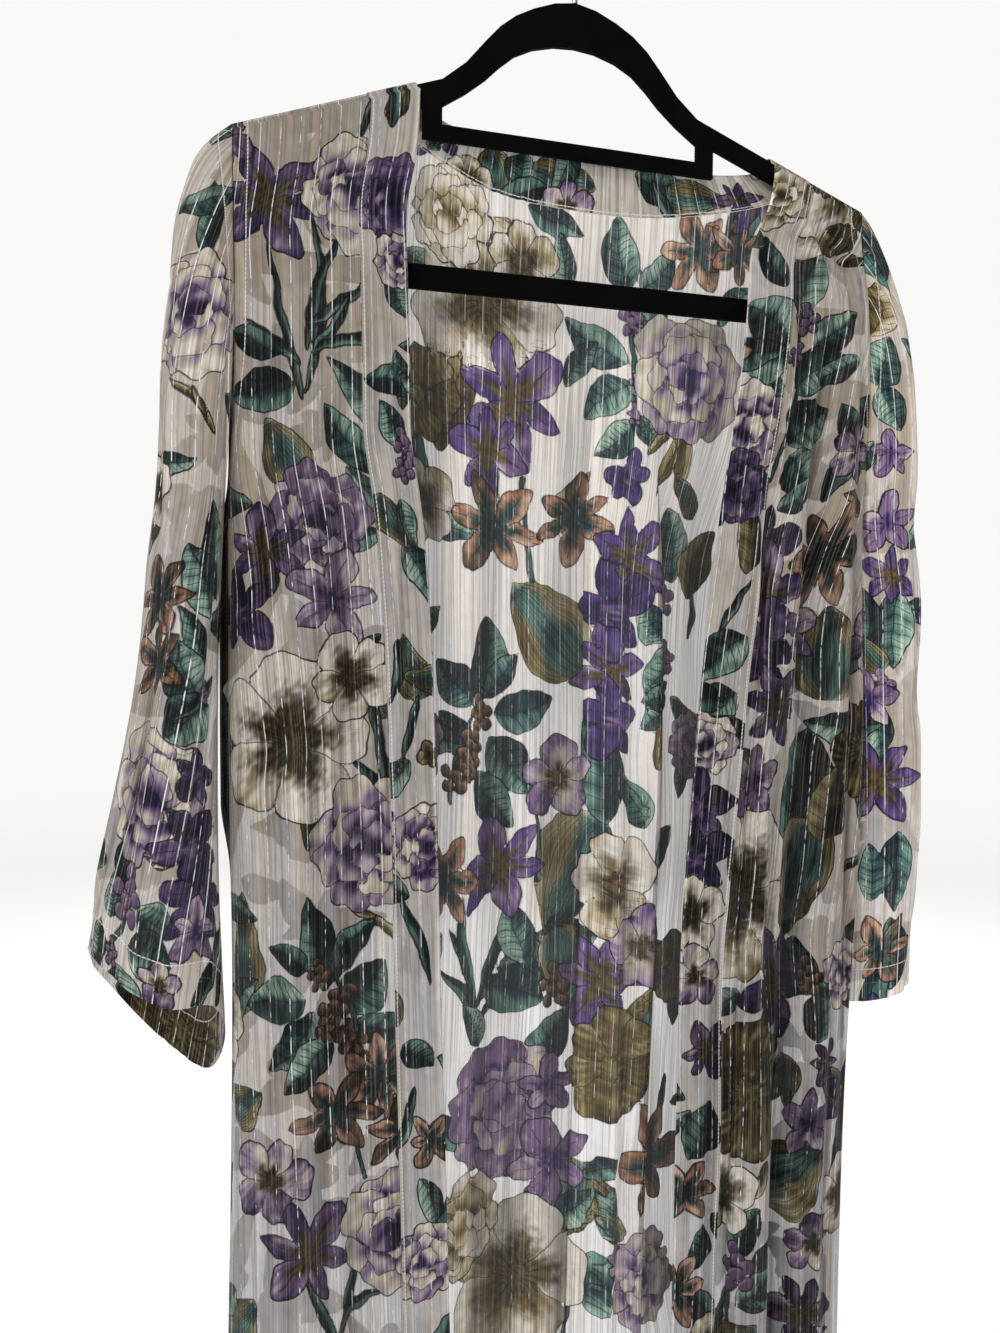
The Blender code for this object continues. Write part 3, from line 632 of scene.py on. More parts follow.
# petals round a centre: the edge falls from each petal's tip to the notch beside it, one side of each petal
# is darker, and a core of another ramp spreads unevenly from the middle
def bloom(x, y, size, width, look, seed):
    radius, angle, count = np.hypot(x, y), np.arctan2(x, y), look["petals"]
    swung, step = angle + 0.16 * np.sin(2.0 * angle + 3.0 * seed), 0.02

    # distance of the edge at an angle, with the place round the flower and the petal's number
    def edgeAt(a):
        place = (a / (2.0 * math.pi) + 0.5) * count
        index = np.floor(place)
        middle = 1.0 - np.abs(2.0 * (place - index) - 1.0)
        length = 1.0 + look["uneven"] * (2.0 * chance(np.mod(index, count), seed) - 1.0)
        tip = (1.0 - (1.0 - middle) ** look["round"]) ** look["power"]
        ruffle = 1.0 + 0.03 * np.sin(13.0 * a + seed) * tip
        return size * (look["notch"] + (1.0 - look["notch"]) * tip * length) * ruffle, place, index

    edge, place, index = edgeAt(swung)
    slope = (edgeAt(swung + step)[0] - edgeAt(swung - step)[0]) / (2.0 * step)
    inside = (edge - radius) / np.sqrt(1.0 + (slope / np.maximum(radius, 0.35 * size)) ** 2)
    along = np.clip(radius / edge, 0.0, 1.0)
    side = 2.0 * (place - index) - 1.0
    low, high = look["tones"]
    tone = low + (high - low) * ease(along / 0.85) + 0.16 * side * along
    tone += 0.44 * (chance(np.mod(index, count), seed + 0.4) - 0.5)
    tone += 0.20 * softNoise(x, y, 0.55 * size + 5.0, seed) - 0.14 * ease((along - 0.86) / 0.14)
    tone += look["rays"] * np.sin(31.0 * angle + 5.0 * np.sin(3.0 * along + seed)) * along
    colour = rampColour(look["ramp"], tone)
    spread = 1.0 + 0.35 * np.sin(math.pi * place) ** 2 + 0.25 * softNoise(x, y, 9.0, seed + 2.0)
    reach = look["coreReach"] * spread
    core = 1.0 - ease((along - 0.55 * reach) / (0.7 * reach))
    coreTone = 0.34 + 0.60 * np.sin(17.0 * angle + 3.0 * seed) * along + 0.22 * softNoise(x, y, 7.0, seed)
    colour += (rampColour(look["core"], coreTone) - colour) * core[:, None]
    detail = onlyWhere(along > 0.26, radius * np.sin(math.pi * place) * 2.0 / count)
    vein = onlyWhere((along > 0.40) & (along < 0.84), radius * np.cos(math.pi * place) * 2.0 / count)
    if look["stamens"]:
        spoke = radius * np.sin(look["stamens"] * angle / 2.0) * 2.0 / look["stamens"]
        vein = onlyWhere((radius > 0.12 * size) & (radius < 0.32 * size), spoke)
    return inside, colour, detail, vein


# rings of a peony: how far out its petals lie and how large they are as shares of the flower, how many
peonyRings = ((0.66, 0.40, 8), (0.40, 0.34, 6), (0.17, 0.26, 4))


# rings of ruffled petals laid over one another, inner rings on top, inked between neighbours by opposite
# signs
def peony(x, y, size, width, look, seed):
    inside = np.full_like(x, -99.0)
    colour = np.tile(rampColour(look["ramp"], 0.8), (len(x), 1))
    line, signs = noLine(x), np.ones((2, len(x)))
    low, high = look["tones"]
    for ring, (reach, petal, count) in enumerate(peonyRings):
        for k in [*range(0, count, 2), *range(1, count, 2)]:
            number = 10 * ring + k
            turned, further, wider, paler = (
                float(chance(number, seed + more)) for more in (0.0, 0.3, 0.7, 0.9))
            aim = 2.0 * math.pi * (k + 0.5 * (turned - 0.5)) / count + seed
            across = x * math.cos(aim) - y * math.sin(aim)
            away = x * math.sin(aim) + y * math.cos(aim) - size * reach * (0.86 + 0.30 * further)
            full = size * petal * (0.85 + 0.35 * wider)
            ruffle = 1.0 + 0.09 * np.sin(5.0 * np.arctan2(across, away) + 6.0 * turned)
            gap = full * ruffle - np.hypot(across, 1.15 * away)
            here = gap > 0.0
            part = np.clip(away / full * 0.5 + 0.5, 0.0, 1.0)
            tone = low + (high - low) * ease((part - 0.15) / 0.6) + 0.50 * (paler - 0.5) - 0.05 * ring
            tone = tone + look["spread"] * softNoise(x, y, 0.35 * size + 4.0, seed + k)
            colour[here] = rampColour(look["ramp"], tone)[here]
            line = np.where(here, gap, np.minimum(line, np.abs(gap)))
            signs[0][here], signs[1][here] = (1.0 if k % 2 else -1.0), (1.0 if ring % 2 else -1.0)
            inside = np.maximum(inside, gap)
    return inside * 0.9, colour, line * signs[0], line * signs[1]


# the bowed line that a leaf or stem lies along: share of its length, place across it, distance from it
def spine(x, y, size, bow):
    part = np.clip(y / size, 0.0, 1.0)
    bent = x - bow * size * np.sin(math.pi * part)
    return part, bent, np.hypot(bent, y - part * size)


# a leaf along y: half width is a skewed sine, one half darker, ribs slanting off a midrib, washed unevenly
def leaf(x, y, size, width, look, seed):
    part, bent, gap = spine(x, y, size, 0.08 * math.sin(3.0 * seed))
    half = 0.5 * width * np.sin(math.pi * part ** look["belly"]) ** look["point"]
    share = np.clip(bent / np.maximum(half, 0.3), -1.0, 1.0)
    darker = math.copysign(1.0, math.sin(5.0 * seed))
    tone = 0.52 + 0.30 * np.clip(2.6 * share * darker, -1.0, 1.0) - 0.16 * np.exp(-(share / 0.16) ** 2)
    tone += 0.24 * softNoise(x, y, 0.6 * size + 4.0, seed)
    detail, vein = noLine(x), noLine(x)
    if look["veins"]:
        phase = 2.0 * math.pi * (part * look["veins"] - 1.3 * np.abs(bent) / width)
        vein = onlyWhere(np.abs(share) < 0.86, np.sin(phase) * size / (2.0 * math.pi * look["veins"]))
        tone += 0.12 * np.cos(phase)
    if width > 7.0:
        detail = onlyWhere((part > 0.02) & (part < 0.96), bent)
    return (half - gap) * 0.94, rampColour(look["ramp"], tone), detail, vein


# a broad heart-shaped leaf: long curved ribs, an uneven coloured rim round a darker middle
def hosta(x, y, size, width, look, seed):
    lean = math.sin(2.0 * seed)
    part, bent, gap = spine(x, y, size, 0.06 * lean)
    half = 0.5 * width * np.sin(math.pi * part ** 0.62) ** 0.75
    share = np.clip(bent / np.maximum(half, 0.3), -1.0, 1.0)
    rim = np.abs(share + 0.3 * lean) - 0.36 + 0.14 * np.sin(9.0 * part + seed)
    rim = np.clip(rim / 0.3, 0.0, 1.0)[:, None]
    stripe = 0.16 * np.cos(2.0 * math.pi * look["ribs"] * share)
    tone = 0.46 + stripe + 0.24 * softNoise(x, y, 0.5 * size, seed) + 0.16 * share
    middle, outer = rampColour(look["middle"], tone), rampColour(look["ramp"], tone + 0.1)
    vein = np.sin(math.pi * look["ribs"] * share) * half / (math.pi * look["ribs"])
    vein = onlyWhere((part > 0.06) & (part < 0.94), vein)
    detail = onlyWhere((part > 0.03) & (part < 0.97), bent)
    return (half - gap) * 0.92, middle + (outer - middle) * rim, detail, vein


# a thin stem along y: constant half width, a little bowed
def stem(x, y, size, width, look, seed):
    part, _, gap = spine(x, y, size, 0.08 * math.sin(3.0 * seed))
    return 0.5 * width + 0.4 - gap, rampColour(look["ramp"], 0.45 + 0.3 * part), noLine(x), noLine(x)


# berries of a bunch: places across and up as shares of its size
berrySpots = ((0.0, 0.0), (0.62, 0.30), (-0.58, 0.34), (0.10, 0.72), (-0.30, -0.60), (0.52, -0.50),
              (-0.1, 1.25))


# a bunch of berries: the union of seven discs, each lit at one side
def berries(x, y, size, width, look, seed):
    inside, lit = np.full_like(x, -9.0), np.zeros_like(x)
    grain = max(0.36 * size, 2.0)
    for spotX, spotY in berrySpots:
        right, up = x - spotX * size, y - spotY * size
        gap = grain - np.hypot(right, up)
        lit = np.where(gap > inside, (right - up) / (2.0 * grain), lit)
        inside = np.maximum(inside, gap)
    return inside, rampColour(look["ramp"], 0.5 - 0.4 * lit), noLine(x), noLine(x)


draw = {"bloom": bloom, "peony": peony, "leaf": leaf, "hosta": hosta, "stem": stem, "berries": berries}


# paints one motif into a piece's fields: its signed distance joins its layer, its colour runs a little past
# the edge, and its lines replace those it covers
def paintMotif(canvas, kind, across, drop, size, turned, width, seed):
    look = motifs[kind]
    layer, far, blank = look["layer"], fields["reach"], fields["blank"]
    around = 1.35 * size + 0.5 * width + far
    near = (np.abs(canvas["across"] - across) < around) & (np.abs(canvas["drop"] - drop) < around)
    near = np.nonzero(near)[0]
    if not len(near):
        return
    right, down = canvas["across"][near] - across, canvas["drop"][near] - drop
    cosine, sine = math.cos(math.radians(turned)), math.sin(math.radians(turned))
    x, y = right * cosine + down * sine, right * sine - down * cosine
    size, width = fields["grown"][layer] * size, fields["widened"] * width
    inside, colour, detail, vein = draw[look["form"]](x, y, size, width, look, seed)
    before, rim, covered = canvas[layer][near], canvas[layer + "Rim"][near], inside > 0.0
    taken = covered | ((before <= 0.0) & (inside > before))
    nearer = covered | (-inside < np.abs(rim))
    canvas[layer][near] = np.maximum(before, np.clip(inside, -far, far))
    canvas[layer + "Rim"][near] = np.clip(np.where(nearer, inside, rim), -far, far)
    canvas[layer + "Colour"][near[taken]] = np.clip(colour[taken], 0.0, 1.0)
    for field, values in (("detail", detail), ("vein", vein)):
        canvas[field][near[covered]] = np.clip(values[covered], -blank, blank)


# middle and reach of a placed motif: leaves stretch from their foot, flowers lie round their centre
def footprint(row):
    kind, across, drop, size, turned = row[:5]
    if motifs[kind]["form"] in ("leaf", "hosta", "stem"):
        angle = math.radians(turned)
        return across + 0.5 * size * math.sin(angle), drop - 0.5 * size * math.cos(angle), 0.42 * size
    return across, drop, 0.9 * size


# the repeat: its pitches and shake in mm, turn from one place to the next, clear room that a flower or a
# leaf needs, sizes of both and how much a flower's size swings
repeat = {
    "flowers": ("purplePeony", "purpleLily", "creamAnemone", "peachLily", "mauvePeony", "creamLilac",
                "olivePoppy", "purpleLily"),
    "leaves": ("tealLeaf", "darkLeaf", "hosta", "strap"),
    "across": 62.0, "drop": 78.0, "shake": 9.0, "turn": 47.0, "flowerRoom": 20.0, "leafRoom": 1.0,
    "flower": 27.0, "swing": 6.0, "leaf": 36.0, "leafWidth": 17.0, "strapWidth": 7.0,
}


# whole pitches that reach over a field of cloth places
def pitches(canvas, field):
    pitch = repeat[field]
    return range(int(canvas[field].min() // pitch), int(canvas[field].max() // pitch) + 2)


# motifs for cloth that no placed motif reaches: a half-drop repeat, a flower and three leaves at each place
def fillRows(canvas, placed, shift):
    flowers, leaves, shake = repeat["flowers"], repeat["leaves"], repeat["shake"]
    taken = np.array([footprint(row) for row in placed])
    rows, number = [], int(shift)
    for column in pitches(canvas, "across"):
        for level in pitches(canvas, "drop"):
            number += 1
            across = repeat["across"] * column + shake * math.sin(5.0 * number) + shift
            drop = repeat["drop"] * (level + 0.5 * (column % 2)) + shake * math.sin(3.0 * number + 1.0)
            clear = (np.hypot(taken[:, 0] - across, taken[:, 1] - drop) - taken[:, 2]).min()
            turned, kind = repeat["turn"] * number, leaves[number % 4]
            if clear > repeat["flowerRoom"]:
                swung = repeat["swing"] * math.sin(2.0 * number)
                size = min(repeat["flower"] + swung, clear + repeat["swing"])
                rows.append((flowers[number % len(flowers)], across, drop, size, turned))
                for k in range(3):
                    aim = turned + 120.0 * k + 30.0
                    rows.append((leaves[(number + k) % 4], across, drop, 1.7 * size, aim, 0.75 * size))
            elif clear > repeat["leafRoom"]:
                width = repeat["strapWidth"] if kind == "strap" else repeat["leafWidth"]
                rows.append((kind, across, drop, repeat["leaf"], turned, width))
    return rows


# placed motifs in the order they are painted: kind, then for each its place across and down the cloth
# in mm, size, turn in degrees and, for leaves, width
printRuns = {
    "front_right": (
        ("purpleLily", (-59, 217, 37, 8)), ("purplePeony", (-5, 206, 36, 20)),
        ("mauveLily", (-89, 181, 18, 40)), ("strap", (-5, 171, 34, 20, 5), (-36, 333, 90, -13, 5),
        (-35, 329, 104, 2, 5), (-34, 303, 70, 18, 6), (-35, 289, 56, 54, 6), (-31, 306, 41, 34, 7),
        (-29, 303, 47, 80, 6), (-38, 313, 41, -56, 6)), ("darkLeaf", (-42, 324, 40, -102, 25),
        (-49, 305, 33, -72, 17)), ("tealLeaf", (19, 357, 61, -40, 21), (8, 371, 46, -41, 22)),
        ("hosta", (-40, 382, 40, -28, 32)), ("mauvePeony", (-33, 401, 30, 0)),
        ("purpleLily", (-72, 421, 26, 30)), ("deepLily", (-92, 455, 25, 60)),
        ("mauveLily", (-31, 447, 29, 160)), ("tealLeaf", (-14, 370, 44, 147, 15),
        (4, 407, 31, -117, 15)), ("creamAnemone", (-65, 529, 50, 12), (-21, 492, 26, 40)),
        ("hosta", (3, 516, 42, -25, 26)), ("tealLeaf", (8, 500, 33, 2, 18)),
        ("strap", (0, 572, 72, -9, 7), (0, 559, 52, 12, 7), (2, 548, 32, 39, 7), (-1, 566, 31, -43, 7)),
        ("purplePeony", (-12, 594, 38, -10)), ("olive", (-25, 628, 55, 131, 5), (-29, 628, 20, 110, 5)),
        ("hosta", (-102, 690, 69, 2, 27)), ("darkLeaf", (-42, 674, 53, -16, 24), (-57, 663, 26, -60, 15),
        (-38, 671, 41, 38, 17), (-32, 692, 38, 42, 28)), ("tealLeaf", (-60, 679, 35, -96, 26),
        (-53, 688, 42, -138, 23), (-40, 708, 40, -128, 24)), ("darkLeaf", (-26, 699, 47, 108, 22),
        (-14, 716, 42, 118, 25)), ("rustBerries", (-49, 670, 8, 0), (-38, 688, 11, 60),
        (-43, 699, 8, 120), (-28, 708, 11, 150)), ("stem", (-45, 658, 66, 159, 2)),
        ("peachLily", (-9, 732, 26, 20), (-40, 753, 29, 0), (3, 767, 23, 200)),
        ("stem", (-24, 737, 53, 177, 2)), ("hosta", (-112, 752, 28, 50, 26)),
        ("creamLilac", (-84, 785, 26, 20)), ("purpleLily", (-62, 831, 32, 15)),
        ("purplePeony", (-2, 829, 38, 10)), ("strap", (-45, 892, 49, -24, 6), (-43, 892, 50, 16, 7),
        (-42, 883, 37, 56, 7)), ("hosta", (-116, 896, 42, 27, 30)), ("mauvePeony", (-68, 929, 34, 0)),
        ("tealLeaf", (-28, 931, 45, 34, 21), (-91, 945, 40, -27, 20)), ("peachLily", (-16, 956, 28, 0)),
    ),
    "band_right": (
        ("olive", (12, 158, 25, 27, 11)), ("deepPeony", (24, 209, 30, 0)),
        ("purplePeony", (26, 245, 16, 30)), ("tealLeaf", (19, 256, 24, 153, 16), (23, 299, 33, 172, 14),
        (22, 356, 27, -23, 18)), ("violetBerries", (26, 359, 9, 0), (22, 370, 8, 40)),
        ("tealLeaf", (17, 387, 28, 163, 15), (17, 414, 35, 156, 18)), ("hosta", (25, 506, 38, -19, 24)),
        ("strap", (10, 542, 38, 18, 6)), ("oliveBud", (27, 539, 8, 0)),
        ("purplePeony", (24, 595, 24, 0)), ("strap", (5, 626, 55, 161, 6)),
        ("darkLeaf", (4, 714, 25, 129, 18)), ("peachLily", (22, 776, 18, 0)),
        ("tealLeaf", (13, 800, 33, 162, 15)), ("purplePeony", (14, 851, 23, 0)),
    ),
    "back": (
        ("creamAnemone", (-54, 253, 52, 30)), ("creamPeony", (-82, 202, 30, 0)),
        ("creamAnemone", (-30, 226, 24, 0)), ("brownLeaf", (-88, 349, 72, 21, 32)),
        ("olivePoppy", (-102, 313, 29, 0)), ("purpleLily", (-34, 315, 40, 20), (-50, 349, 30, -40)),
        ("stem", (-24, 364, 81, 172, 3)), ("peachLily", (-44, 397, 36, 10), (16, 388, 31, 30)),
        ("olive", (-6, 385, 40, 50, 12)), ("hosta", (22, 491, 75, -43, 56)),
        ("tealLeaf", (46, 237, 45, -13, 27), (56, 237, 35, 39, 22), (48, 284, 50, -62, 26),
        (56, 271, 36, 33, 20), (50, 298, 37, -128, 27), (54, 324, 34, -132, 23), (59, 318, 27, 135, 19),
        (55, 304, 20, 32, 16)), ("violetBerries", (50, 257, 10, 0), (55, 300, 7, 0), (54, 320, 6, 0)),
        ("stem", (44, 229, 110, 175, 3)), ("purplePeony", (96, 292, 42, 0)),
        ("olive", (94, 326, 46, -161, 11), (100, 325, 45, 175, 14), (88, 325, 29, -135, 8)),
        ("deepLily", (55, 363, 20, 0)), ("purpleLily", (63, 417, 34, 20)),
        ("deepLily", (50, 452, 35, 60)), ("purpleLily", (48, 492, 32, 100)),
        ("deepLily", (50, 525, 27, 0)), ("violetBerries", (104, 444, 12, 0), (110, 486, 10, 0)),
        ("tealLeaf", (114, 431, 52, -17, 28), (98, 471, 32, -40, 25), (110, 478, 40, -136, 26),
        (111, 507, 38, -128, 25)), ("brownLeaf", (130, 441, 48, 19, 31)),
        ("darkLeaf", (-56, 512, 54, 6, 29), (-63, 512, 39, -48, 26), (-51, 510, 36, 39, 17),
        (-45, 521, 44, 76, 28), (-65, 543, 34, -47, 24), (-47, 535, 47, 143, 30),
        (-60, 558, 47, 141, 27)), ("rustBerries", (-56, 522, 10, 0), (-67, 540, 11, 40),
        (-78, 560, 12, 90), (-65, 553, 9, 20)), ("stem", (-53, 504, 75, -158, 3)),
        ("creamLilac", (4, 564, 29, 0)), ("hosta", (37, 588, 90, -157, 58)),
        ("darkLeaf", (46, 596, 76, -15, 38)), ("purpleLily", (-39, 623, 35, 10)),
        ("peachLily", (-84, 629, 29, 0)), ("strap", (-54, 718, 59, -24, 8), (-54, 711, 70, -13, 8),
        (-54, 724, 46, -41, 9), (-52, 718, 78, 19, 7), (-50, 726, 86, 41, 6)),
        ("darkLeaf", (-38, 692, 52, 78, 29), (-48, 704, 46, 106, 32), (10, 681, 30, 74, 28)),
        ("purpleLily", (45, 702, 40, 0)), ("rustBerries", (6, 712, 12, 0)),
        ("darkLeaf", (-14, 762, 45, 40, 28)), ("olivePoppy", (59, 762, 40, 0)),
        ("mauvePeony", (-28, 788, 43, 0)), ("mauveLily", (8, 831, 33, 120), (4, 777, 21, 0)),
        ("hosta", (37, 829, 54, -162, 49)), ("creamAnemone", (-16, 906, 54, 15)),
        ("creamPeony", (-63, 862, 33, 0)), ("tealLeaf", (57, 884, 38, 6, 25), (70, 910, 44, -83, 27),
        (66, 928, 31, -74, 24)), ("violetBerries", (66, 898, 11, 0)),
        ("creamAnemone", (54, 637, 37, 60)), ("creamLilac", (85, 682, 31, 0)),
        ("strap", (74, 798, 36, 37, 6), (74, 805, 87, 15, 6)), ("peachLily", (109, 836, 39, 0)),
        ("purplePeony", (104, 921, 35, 0)), ("peachLily", (98, 206, 28, 180), (129, 206, 23, 150)),
        ("darkLeaf", (-28, 192, 40, 108, 17)), ("purpleLily", (-4, 995, 35, 0)),
        ("tealLeaf", (49, 1011, 51, 45, 26)), ("hosta", (-59, 983, 50, 34, 42)),
        ("tealLeaf", (-16, 690, 46, -20, 26)), ("hosta", (8, 668, 62, 168, 40)),
        ("stem", (-22, 560, 70, 170, 3)), ("olive", (92, 560, 52, 12, 12)),
        ("tealLeaf", (84, 600, 40, -30, 22)), ("darkLeaf", (96, 640, 44, 30, 24)),
        ("tealLeaf", (6, 872, 44, 60, 24)), ("strap", (20, 960, 70, 8, 8)),
        ("hosta", (84, 760, 56, 20, 38)), ("brownLeaf", (-252, 505, 175, 0, 66)),
        ("darkLeaf", (-250, 615, 112, 0, 60)),
    ),
    "band_neck": (
        ("hosta", (-49, 193, 30, -21, 29)), ("tealLeaf", (-37, 185, 22, 7, 22)),
        ("hosta", (-30, 173, 27, 101, 23), (-7, 172, 19, 102, 18)), ("creamLilac", (-5, 190, 17, 0)),
        ("darkLeaf", (40, 166, 34, 97, 23)), ("hosta", (62, 178, 40, 99, 24)),
        ("purpleLily", (108, 182, 14, 0)), ("tealLeaf", (-86, 184, 9, -79, 9)),
        ("deepLily", (-86, 172, 11, 0)), ("creamAnemone", (-68, 190, 13, 0)),
        ("mauveLily", (-90, 196, 8, 0)),
    ),
    "front_left": (
        ("creamAnemone", (-2, 174, 42, 20), (39, 145, 59, 0)), ("olivePoppy", (12, 150, 16, 30),
        (52, 172, 17, 80), (30, 196, 13, 10)), ("brownLeaf", (40, 214, 44, 48, 15),
        (62, 160, 40, 150, 14)), ("tealLeaf", (4, 250, 49, 19, 30), (19, 274, 39, 51, 26),
        (7, 302, 44, 61, 29)), ("violetBerries", (13, 257, 9, 0), (6, 281, 7, 30)),
        ("tealLeaf", (9, 339, 39, 52, 37), (11, 347, 32, 128, 31)), ("stem", (6, 250, 108, -177, 2)),
        ("peachLily", (68, 413, 36, 170)), ("olive", (94, 384, 29, -66, 12)),
        ("hosta", (88, 509, 60, -3, 53)), ("deepLily", (6, 408, 26, 0)),
        ("purpleLily", (13, 440, 33, 40)), ("deepLily", (14, 476, 31, 90)),
        ("purpleLily", (28, 512, 30, 130)), ("mauveLily", (55, 462, 24, 60), (13, 562, 26, 0)),
        ("darkLeaf", (60, 611, 79, 11, 54)), ("hosta", (83, 590, 77, -173, 47)),
        ("brownLeaf", (92, 604, 48, 8, 30)), ("creamAnemone", (6, 633, 56, 40)),
        ("purpleLily", (53, 699, 42, 0)), ("darkLeaf", (73, 712, 42, 13, 34), (96, 740, 37, 6, 23)),
        ("rustBerries", (91, 698, 10, 0)), ("tealLeaf", (36, 714, 36, 99, 25)),
        ("olivePoppy", (22, 766, 47, 0)), ("mauveLily", (93, 795, 23, 0)),
        ("purpleLily", (105, 755, 15, 0)), ("hosta", (59, 849, 57, 50, 54)),
        ("creamAnemone", (3, 835, 26, 0)), ("olive", (26, 838, 26, 28, 11)),
        ("tealLeaf", (15, 877, 36, 28, 23), (26, 890, 43, 63, 30), (18, 909, 38, 63, 26)),
        ("violetBerries", (17, 887, 13, 0)), ("stem", (32, 846, 83, -166, 3)),
        ("creamLilac", (101, 877, 21, 0)), ("purpleLily", (94, 926, 28, 0)),
        ("hosta", (4, 950, 38, 45, 34)), ("purplePeony", (68, 996, 38, 0)),
        ("tealLeaf", (20, 993, 37, -22, 21)),
    ),
    "band_left": (
        ("creamPeony", (-21, 169, 24, 0)), ("darkLeaf", (-5, 234, 36, -28, 17)),
        ("tealLeaf", (0, 272, 38, -51, 35), (0, 279, 33, -104, 33), (-5, 327, 29, 3, 17),
        (-4, 342, 23, -164, 14)), ("purplePeony", (-23, 332, 29, 0)), ("deepPeony", (-24, 370, 24, 0)),
        ("brownLeaf", (-10, 426, 47, -6, 17)), ("strap", (-23, 470, 41, 24, 5)),
        ("tealLeaf", (-5, 467, 39, -135, 29), (-8, 504, 26, -123, 26)),
        ("purplePeony", (-26, 537, 22, 0)), ("deepLily", (-28, 579, 30, 0), (-26, 613, 27, 60)),
        ("creamAnemone", (-27, 649, 24, 0)), ("creamLilac", (-22, 690, 20, 0)),
        ("purpleLily", (-12, 741, 20, 0)), ("darkLeaf", (-24, 812, 38, 23, 29)),
        ("peachLily", (-26, 833, 23, 0), (-31, 899, 23, 0)), ("darkLeaf", (-18, 886, 28, 14, 17)),
    ),
    "sleeve_right": (
        ("darkLeaf", (36, 269, 48, -13, 12)), ("purplePeony", (32, 300, 35, 0)),
        ("olive", (56, 367, 42, -45, 5), (49, 357, 18, -30, 4)), ("tealLeaf", (75, 457, 53, -17, 22),
        (64, 469, 42, -23, 23)), ("peachLily", (31, 459, 26, 0), (34, 496, 23, 20)),
        ("darkLeaf", (67, 503, 43, -27, 11)), ("tealLeaf", (65, 516, 35, -24, 24),
        (75, 513, 33, -136, 28)), ("violetBerries", (69, 509, 5, 0)), ("purplePeony", (46, 567, 35, 0)),
        ("deepLily", (72, 552, 15, 0), (77, 586, 22, 30), (88, 612, 24, 70)),
        ("mauveLily", (88, 628, 17, 0)), ("tealLeaf", (44, 619, 32, -17, 17), (34, 637, 21, -6, 15)),
        ("violetBerries", (44, 624, 12, 0), (38, 656, 6, 0)), ("tealLeaf", (55, 623, 18, 100, 23),
        (51, 643, 25, 97, 27), (42, 659, 29, 151, 25), (22, 666, 23, 9, 15)),
        ("stem", (49, 614, 39, -160, 2)), ("strap", (92, 666, 42, 28, 7)),
        ("creamLilac", (71, 656, 12, 0)), ("olivePoppy", (-108, 655, 40, 0)),
        ("brownLeaf", (-70, 672, 40, -60, 22)), ("strap", (96, 668, 54, 22, 9), (112, 664, 60, 20, 6)),
    ),
    "sleeve_left": (
        ("hosta", (-7, 171, 72, 151, 41)), ("darkLeaf", (-34, 176, 62, 168, 34)),
        ("oliveLeaf", (-53, 271, 41, 27, 22)), ("tealLeaf", (-54, 307, 35, 21, 28),
        (-54, 307, 30, 153, 24)), ("mauveLily", (-47, 352, 15, 0), (-48, 399, 22, 0)),
        ("purpleLily", (-49, 436, 20, 30)), ("tealLeaf", (-45, 445, 51, -175, 26),
        (2, 523, 25, -27, 21)), ("darkLeaf", (-68, 493, 48, -3, 20)),
        ("violetBerries", (-57, 513, 9, 0)), ("tealLeaf", (-67, 520, 42, 169, 21)),
        ("mauveLily", (-67, 520, 23, 0)), ("purpleLily", (-61, 576, 30, 0)),
        ("darkLeaf", (-47, 612, 53, -178, 25)), ("tealLeaf", (-64, 658, 37, -6, 23)),
        ("peachLily", (-57, 694, 24, 0)), ("darkLeaf", (-49, 723, 49, -3, 28)),
    ),
}


# fields of the print at every vertex: cloth places shaken a little, leaves painted first, then flowers,
# each colour then deepened by a power of its brightness
def printFields(across, drop, placed, shift, depth):
    count, u, v = across.size, across.ravel(), drop.ravel()
    canvas = {"detail": np.full(count, fields["blank"]), "vein": np.full(count, fields["blank"])}
    for field, place, seed in (("across", u, shift), ("drop", v, shift + 2.0)):
        shaken = place + fields["shake"] * softNoise(u, v, fields["shakePitch"], seed)
        canvas[field] = shaken + fields["tremble"] * softNoise(u, v, fields["tremblePitch"], seed + 1.0)
    for layer in ("under", "over"):
        for field in (layer, layer + "Rim"):
            canvas[field] = np.full(count, -fields["reach"])
        canvas[layer + "Colour"] = np.tile(dye("cream"), (count, 1))
    rows = placed + fillRows(canvas, placed, shift)
    for layer in ("under", "over"):
        for number, row in enumerate(rows):
            if motifs[row[0]]["layer"] == layer:
                width = row[5] if len(row) > 5 else 0.0
                paintMotif(canvas, *row[:5], width, 1.0 + 0.77 * number)
        light = canvas[layer + "Colour"] @ np.array(fields["brightness"])
        canvas[layer + "Colour"] *= np.maximum(light, 0.001)[:, None] ** (depth - 1.0)
    return canvas


# a field stored at every vertex of a mesh
def addField(mesh, name, kind, values):
    field = mesh.attributes.new(name, kind, "POINT")
    item = "color" if kind == "FLOAT_COLOR" else "vector"
    field.data.foreach_set(item, values.astype(np.float32).ravel())


# an object for its data, linked into the scene
def addObject(name, data):
    made = bpy.data.objects.new(name, data)
    bpy.context.scene.collection.objects.link(made)
    return made
